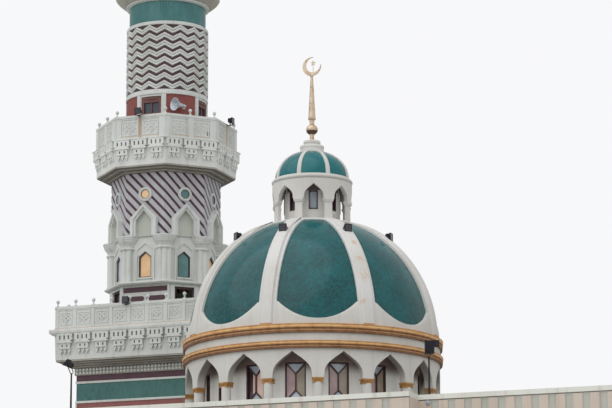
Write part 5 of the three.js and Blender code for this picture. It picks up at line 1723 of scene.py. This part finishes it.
def upper_parapet():
    """A rail on panels between posts, with balls, two rusted posts and two floodlights."""
    corner = 3.05
    face, half = corner * FACE, corner * math.sin(EIGHTH)
    foot, top, rail = 26.98, 27.87, 27.98
    wall = bands(octagon_ring, (corner, 26.92, 27.9, 0.12), (3.09, 26.93, 27.02, 0.17),
                 (3.08, 27.8, top, 0.16), (3.11, top, 27.94, 0.2), (3.09, 27.935, rail, 0.17))
    minaret_piece("upper_parapet_wall", wall, stands_for=("upper_parapet",))
    panel = relief_panel(0.72, 0.64).moved(out=face - 0.002, up=27.41)
    minaret_piece("upper_parapet_panels", panel, sides=8, across=2, pitch=0.98)
    minaret_piece("upper_parapet_foot", bands(octagon_ring, (3.075, 27.015, 27.07, 0.15)), BEIGE_PLASTER)
    # A dark box where the drain hole is: painted shade.
    drain = Form().block(0.76, 0.92, face - 0.01, face + 0.012, 27.14, 27.3)
    drain.block(0.79, 0.85, face - 0.01, face + 0.018, 27.16, 27.34)
    minaret_piece("upper_drain_hole_painted_shade", drain, GOLD_PAINTED_SHADE, first=45)
    back, front = face - 0.1, face + 0.035
    minaret_piece("upper_mid_posts", Form().block(-0.13, 0.13, back, front, foot, top), sides=8)
    rusted = at_bearings(lambda: Form().block(-0.075, 0.075, face - 0.09, face + 0.042, 27.0, rail), (0, 90))
    minaret_piece("upper_rusted_posts", rusted, RUSTED_PLASTER)
    spot = (0.0, face + 0.24, 27.95)
    lights = at_bearings(lambda: floodlight(0.28).moved(*spot), (0, 90))
    minaret_piece("upper_floodlights", lights, BLACK_METAL)
    lenses = at_bearings(lambda: floodlight_lens().moved(*spot), (0, 90))
    minaret_piece("upper_floodlight_lenses", lenses, LAMP_GLASS, slot="window_glass")
    balls = at_bearings(lambda: post_ball(Form(), 0.0, face - 0.05, rail), (45, 135, 180, 225, 270, 315))
    minaret_piece("upper_mid_balls", balls)
    corners = Form().block(-half - 0.014, -half + 0.29, back, front, foot, top)
    corners.block(half - 0.29, half + 0.014, back, front, foot, top)
    minaret_piece("upper_corner_posts", corners, sides=8)
    minaret_piece("upper_corner_balls", post_ball(Form(), 0.0, 2.96, rail), sides=8, first=22.5)


def call_stage():
    floor, top = UPPER_FLOOR, CALL_TOP
    sill, head, wide = 27.3, 28.98, 0.47
    jamb = math.degrees(math.asin(wide / CALL_RADIUS))

    def bent(form, left, right, bottom, high, steps=8, back=0.01):
        return form.curved_block(left, right, 1.5, CALL_RADIUS - back, bottom, high, steps)

    plain = bent(Form(), -22.5, 22.5, floor, top)
    minaret_piece("call_stage_red_bays", plain, BRICK_PAINT, ("call_stage",), sides=4, first=45)
    opened = bent(Form(), -22.5, 22.5, floor, sill)
    bent(opened, -22.5, -jamb, sill, top, 3)
    bent(opened, jamb, 22.5, sill, top, 3)
    minaret_piece("call_stage_window_bays", opened, sides=4)
    minaret_piece("call_stage_white_heads", bent(Form(), -jamb, jamb, head + 0.09, top), sides=4)
    lintel = bent(Form(), -jamb, jamb, head - 0.03, head + 0.1, back=0.05)
    minaret_piece("call_stage_lintels", lintel, LINTEL_PAINT, sides=4)
    out = 1.62
    bars = Form().plate(box_outline(-wide, wide, sill, head), out - 0.08, out + 0.06,
                        [box_outline(-0.35, 0.35, sill + 0.09, head - 0.17)])
    bars.block(-0.35, 0.35, out - 0.06, out + 0.03, 28.3, 28.36)
    bars.block(-0.025, 0.025, out - 0.06, out + 0.03, sill + 0.05, head - 0.1)
    minaret_piece("call_stage_frames", bars, LINTEL_PAINT, sides=4)
    pane = Form().block(-0.42, 0.42, out - 0.05, out - 0.02, sill + 0.05, head - 0.05)
    minaret_piece("call_stage_panes", pane, DARK_GLASS, ("call_stage_glass",), sides=4)
    posts = at_bearings(lambda: Form().block(-0.095, 0.095, 1.56, 1.795, floor, top), (-19.4, 19.4))
    minaret_piece("call_stage_posts", posts, sides=4)


def loudspeakers():
    """Grey horns with a round rear driver, each on a short arm and looking along the wall."""
    face = CALL_RADIUS * math.cos(math.pi / 24)
    outside = [(0.0, 0.0), (0.045, 0.0), (0.045, 0.06), (0.07, 0.07), (0.075, 0.16), (0.095, 0.18),
               (0.1, 0.28), (0.13, 0.38), (0.2, 0.5), (0.285, 0.585), (0.29, 0.6)]
    inside = [(0.275, 0.6), (0.19, 0.52), (0.12, 0.41), (0.0, 0.38)]
    form = Form().turned(outside + inside, 32)
    form.turned([(0, 0.36), (0.05, 0.38), (0.065, 0.46), (0.05, 0.5), (0, 0.51)], 16)
    turn = math.radians(-79.5)
    form.points = [(x * math.cos(turn) + z * math.sin(turn), x * math.sin(turn) - z * math.cos(turn), y)
                   for x, y, z in form.points]
    form.moved(-0.14, face + 0.13, 28.61)
    form.block(-0.18, -0.1, face - 0.01, face + 0.16, 28.57, 28.65)
    form.block(-0.2, -0.08, face - 0.02, face + 0.015, 28.5, 28.72)
    minaret_piece("loudspeakers", form, GREY_METAL, ("loudspeaker_1", "loudspeaker_2"), sides=2, first=52.5)


def chevron_tooth(height, crest):
    """One zigzag tooth of a double white ridge, a sixteenth of the way round."""
    rising = ((0.0, 0.0), (0.03, 0.066), (0.16, 0.083), (0.36, 0.076), (0.44, 0.036), (0.5, 0.02))
    rounds = [*rising, (0.56, 0.036), (0.64, 0.076), (0.84, 0.083), (0.97, 0.066), (1.0, 0.0)]
    profile = [(share * height, proud) for share, proud in rounds]
    count = len(profile) - 1

    def place(i, k, side):
        bearing = math.radians(11.25 * (2 * i - 1))
        rise, proud = profile[round(k * count)]
        radius = 1.727 + (proud if side else -0.02)
        level = rise + crest * (1 - abs(2 * i - 1))
        return (radius * math.sin(bearing), -radius * math.cos(bearing), level)

    return Form().grid(8, count, place, False)


def chevrons():
    bottom, top = CALL_TOP + 0.19, 32.3
    crest, height, levels = 0.19, 0.225, 8
    pitch = (top - bottom - crest - height) / (levels - 1)
    wall = [(1.725, CALL_TOP), (1.725, CHEVRON_TOP), (1.5, CHEVRON_TOP), (1.5, CALL_TOP)]
    minaret_piece("chevron_wall", Form().turned(wall, 64), MAROON_PAINT, ("chevron_shaft",))
    tooth = chevron_tooth(height, crest).moved(up=bottom)
    piece("chevron_ridges", tooth, MINARET_PLASTER,
          [rows(levels=levels, level_pitch=pitch), on_minaret(sides=16, first=-2.85)])
    rings = Form()
    for low, high, radius in ((CALL_TOP - 0.01, CALL_TOP + 0.13, 1.81),
                              (CALL_TOP + 0.12, bottom + 0.02, 1.79), (top, CHEVRON_TOP, 1.805)):
        rings.turned([(1.6, low), (radius - 0.012, low), (radius, low + 0.015), (radius, high - 0.02),
                      (radius - 0.015, high), (1.6, high)], 96)
    minaret_piece("chevron_end_rings", rings)


def minaret_head():
    """The collar of glazed reeds, and the flare and rim that spread above it."""
    around, radius = 96, COLLAR_RADIUS
    wall = [(radius - 0.03, CHEVRON_TOP), (radius - 0.03, COLLAR_TOP), (1.5, COLLAR_TOP), (1.5, CHEVRON_TOP)]
    minaret_piece("collar_wall", Form().turned(wall, around), COLLAR_TILES, ("minaret_tile_collar",))
    width = 2 * math.pi * radius / around
    outline = [(-0.46, 0.0), (-0.4, 0.6), (-0.2, 0.95), (0.2, 0.95), (0.4, 0.6), (0.46, 0.0)]
    points = [(x * width, -(radius - 0.035 + out * 0.015), z)
              for z in (CHEVRON_TOP + 0.002, COLLAR_TOP) for x, out in outline]
    count = len(outline)
    sides = [(i, i + 1, count + i + 1, count + i) for i in range(count - 1)]
    ends = [tuple(range(count)), tuple(range(count, 2 * count))]
    reed = Form().take(points, [*sides, (count - 1, 0, count, 2 * count - 1), *ends])
    minaret_piece("collar_reeds", reed, COLLAR_TILES, sides=around)
    bead = raised([(1.6, -0.03), (1.72, -0.03), (1.76, -0.02), (1.83, 0.0), (1.84, 0.03), (1.83, 0.055),
                   (1.6, 0.06)], COLLAR_TOP)
    minaret_piece("collar_bead", Form().turned(bead, around))
    flare = raised([
        (radius - 0.02, -0.02), (radius + 0.02, -0.02), (radius + 0.03, 0.02), (1.82, 0.05), (1.83, 0.07),
        (1.96, 0.14), (2.1, 0.235), (2.19, 0.31), (2.25, 0.37), (2.29, 0.46), (2.0, 0.5), (1.5, 0.5),
        (1.5, -0.02),
    ], COLLAR_TOP)
    # The flare under the top balcony is darkened with painted shade.
    minaret_piece("head_flare", Form().turned(flare, around), SHADED_SOFFIT_PLASTER, ("top_balcony",))
    rim = [(0, COLLAR_TOP + 0.45), (2.28, COLLAR_TOP + 0.45), (TOP_RADIUS - 0.005, TOP_RIM),
           (TOP_RADIUS, TOP_RIM + 0.02), (TOP_RADIUS, TOP_FLOOR - 0.03), (TOP_RADIUS - 0.03, TOP_FLOOR),
           (0, TOP_FLOOR)]
    minaret_piece("head_rim", Form().turned(rim, around))


def minaret():
    minaret_base()
    lower_balcony()
    gallery()
    window_stage()
    striped_shaft()
    upper_balcony()
    call_stage()
    loudspeakers()
    chevrons()
    minaret_head()


# Floor, sky, lights and camera


def stage():
    size = 600.0
    corners = [(x, y, 0) for x, y in box_outline(-size, size, -size, size)]
    mesh = bpy.data.meshes.new("ground")
    mesh.from_pydata(corners, [], [(0, 1, 2, 3)])
    ground = bpy.data.objects.new("ground", mesh)
    finish = Finish("pale_floor", None, 0.9)
    finish.lead(finish.mixed(finish.noise(0.05), (206, 206, 204), (200, 200, 198)), "Base Color")
    mesh.materials.append(finish.material)
    scene.collection.objects.link(ground)
    ground.location.z = -0.01


def sky():
    """An even pale sky, seen brighter by the camera than it lights."""
    world = bpy.data.worlds.new("overcast")
    world.use_nodes = True
    scene.world = world
    nodes = Nodes(world.node_tree)
    sight = nodes.add("ShaderNodeLightPath", output="Is Camera Ray")
    strength = 0.62 + sight * 0.33
    background = world.node_tree.nodes["Background"]
    background.inputs["Color"].default_value = (0.985, 0.988, 1.0, 1.0)
    world.node_tree.links.new(strength.socket, background.inputs["Strength"])


def sun(name, bearing, elevation, power, spread):
    lamp = bpy.data.lights.new(name, "SUN")
    lamp.energy = power
    lamp.angle = math.radians(spread)
    holder = bpy.data.objects.new(name, lamp)
    a, e = math.radians(bearing), math.radians(elevation)
    towards = Vector((math.sin(a) * math.cos(e), -math.cos(a) * math.cos(e), math.sin(e)))
    holder.rotation_euler = towards.to_track_quat("Z", "Y").to_euler()
    scene.collection.objects.link(holder)


def camera():
    lens = bpy.data.cameras.new("view")
    lens.lens = CAMERA_LENS
    lens.sensor_width = 36.0
    lens.clip_start = 1.0
    lens.clip_end = 2000.0
    viewer = bpy.data.objects.new("view", lens)
    viewer.location = CAMERA_PLACE
    viewer.rotation_euler = [math.radians(turn) for turn in CAMERA_TURNS]
    scene.collection.objects.link(viewer)
    scene.camera = viewer


hall()
drum_arcade()
drum_wall()
drum_panes()
gold_rings()
dome()
lanterns()
minaret()
stage()
sky()
sun("soft_key", -30, 55, 1.1, 80)
sun("soft_front", 35, 30, 0.45, 120)
camera()
scene.view_settings.view_transform = "Standard"
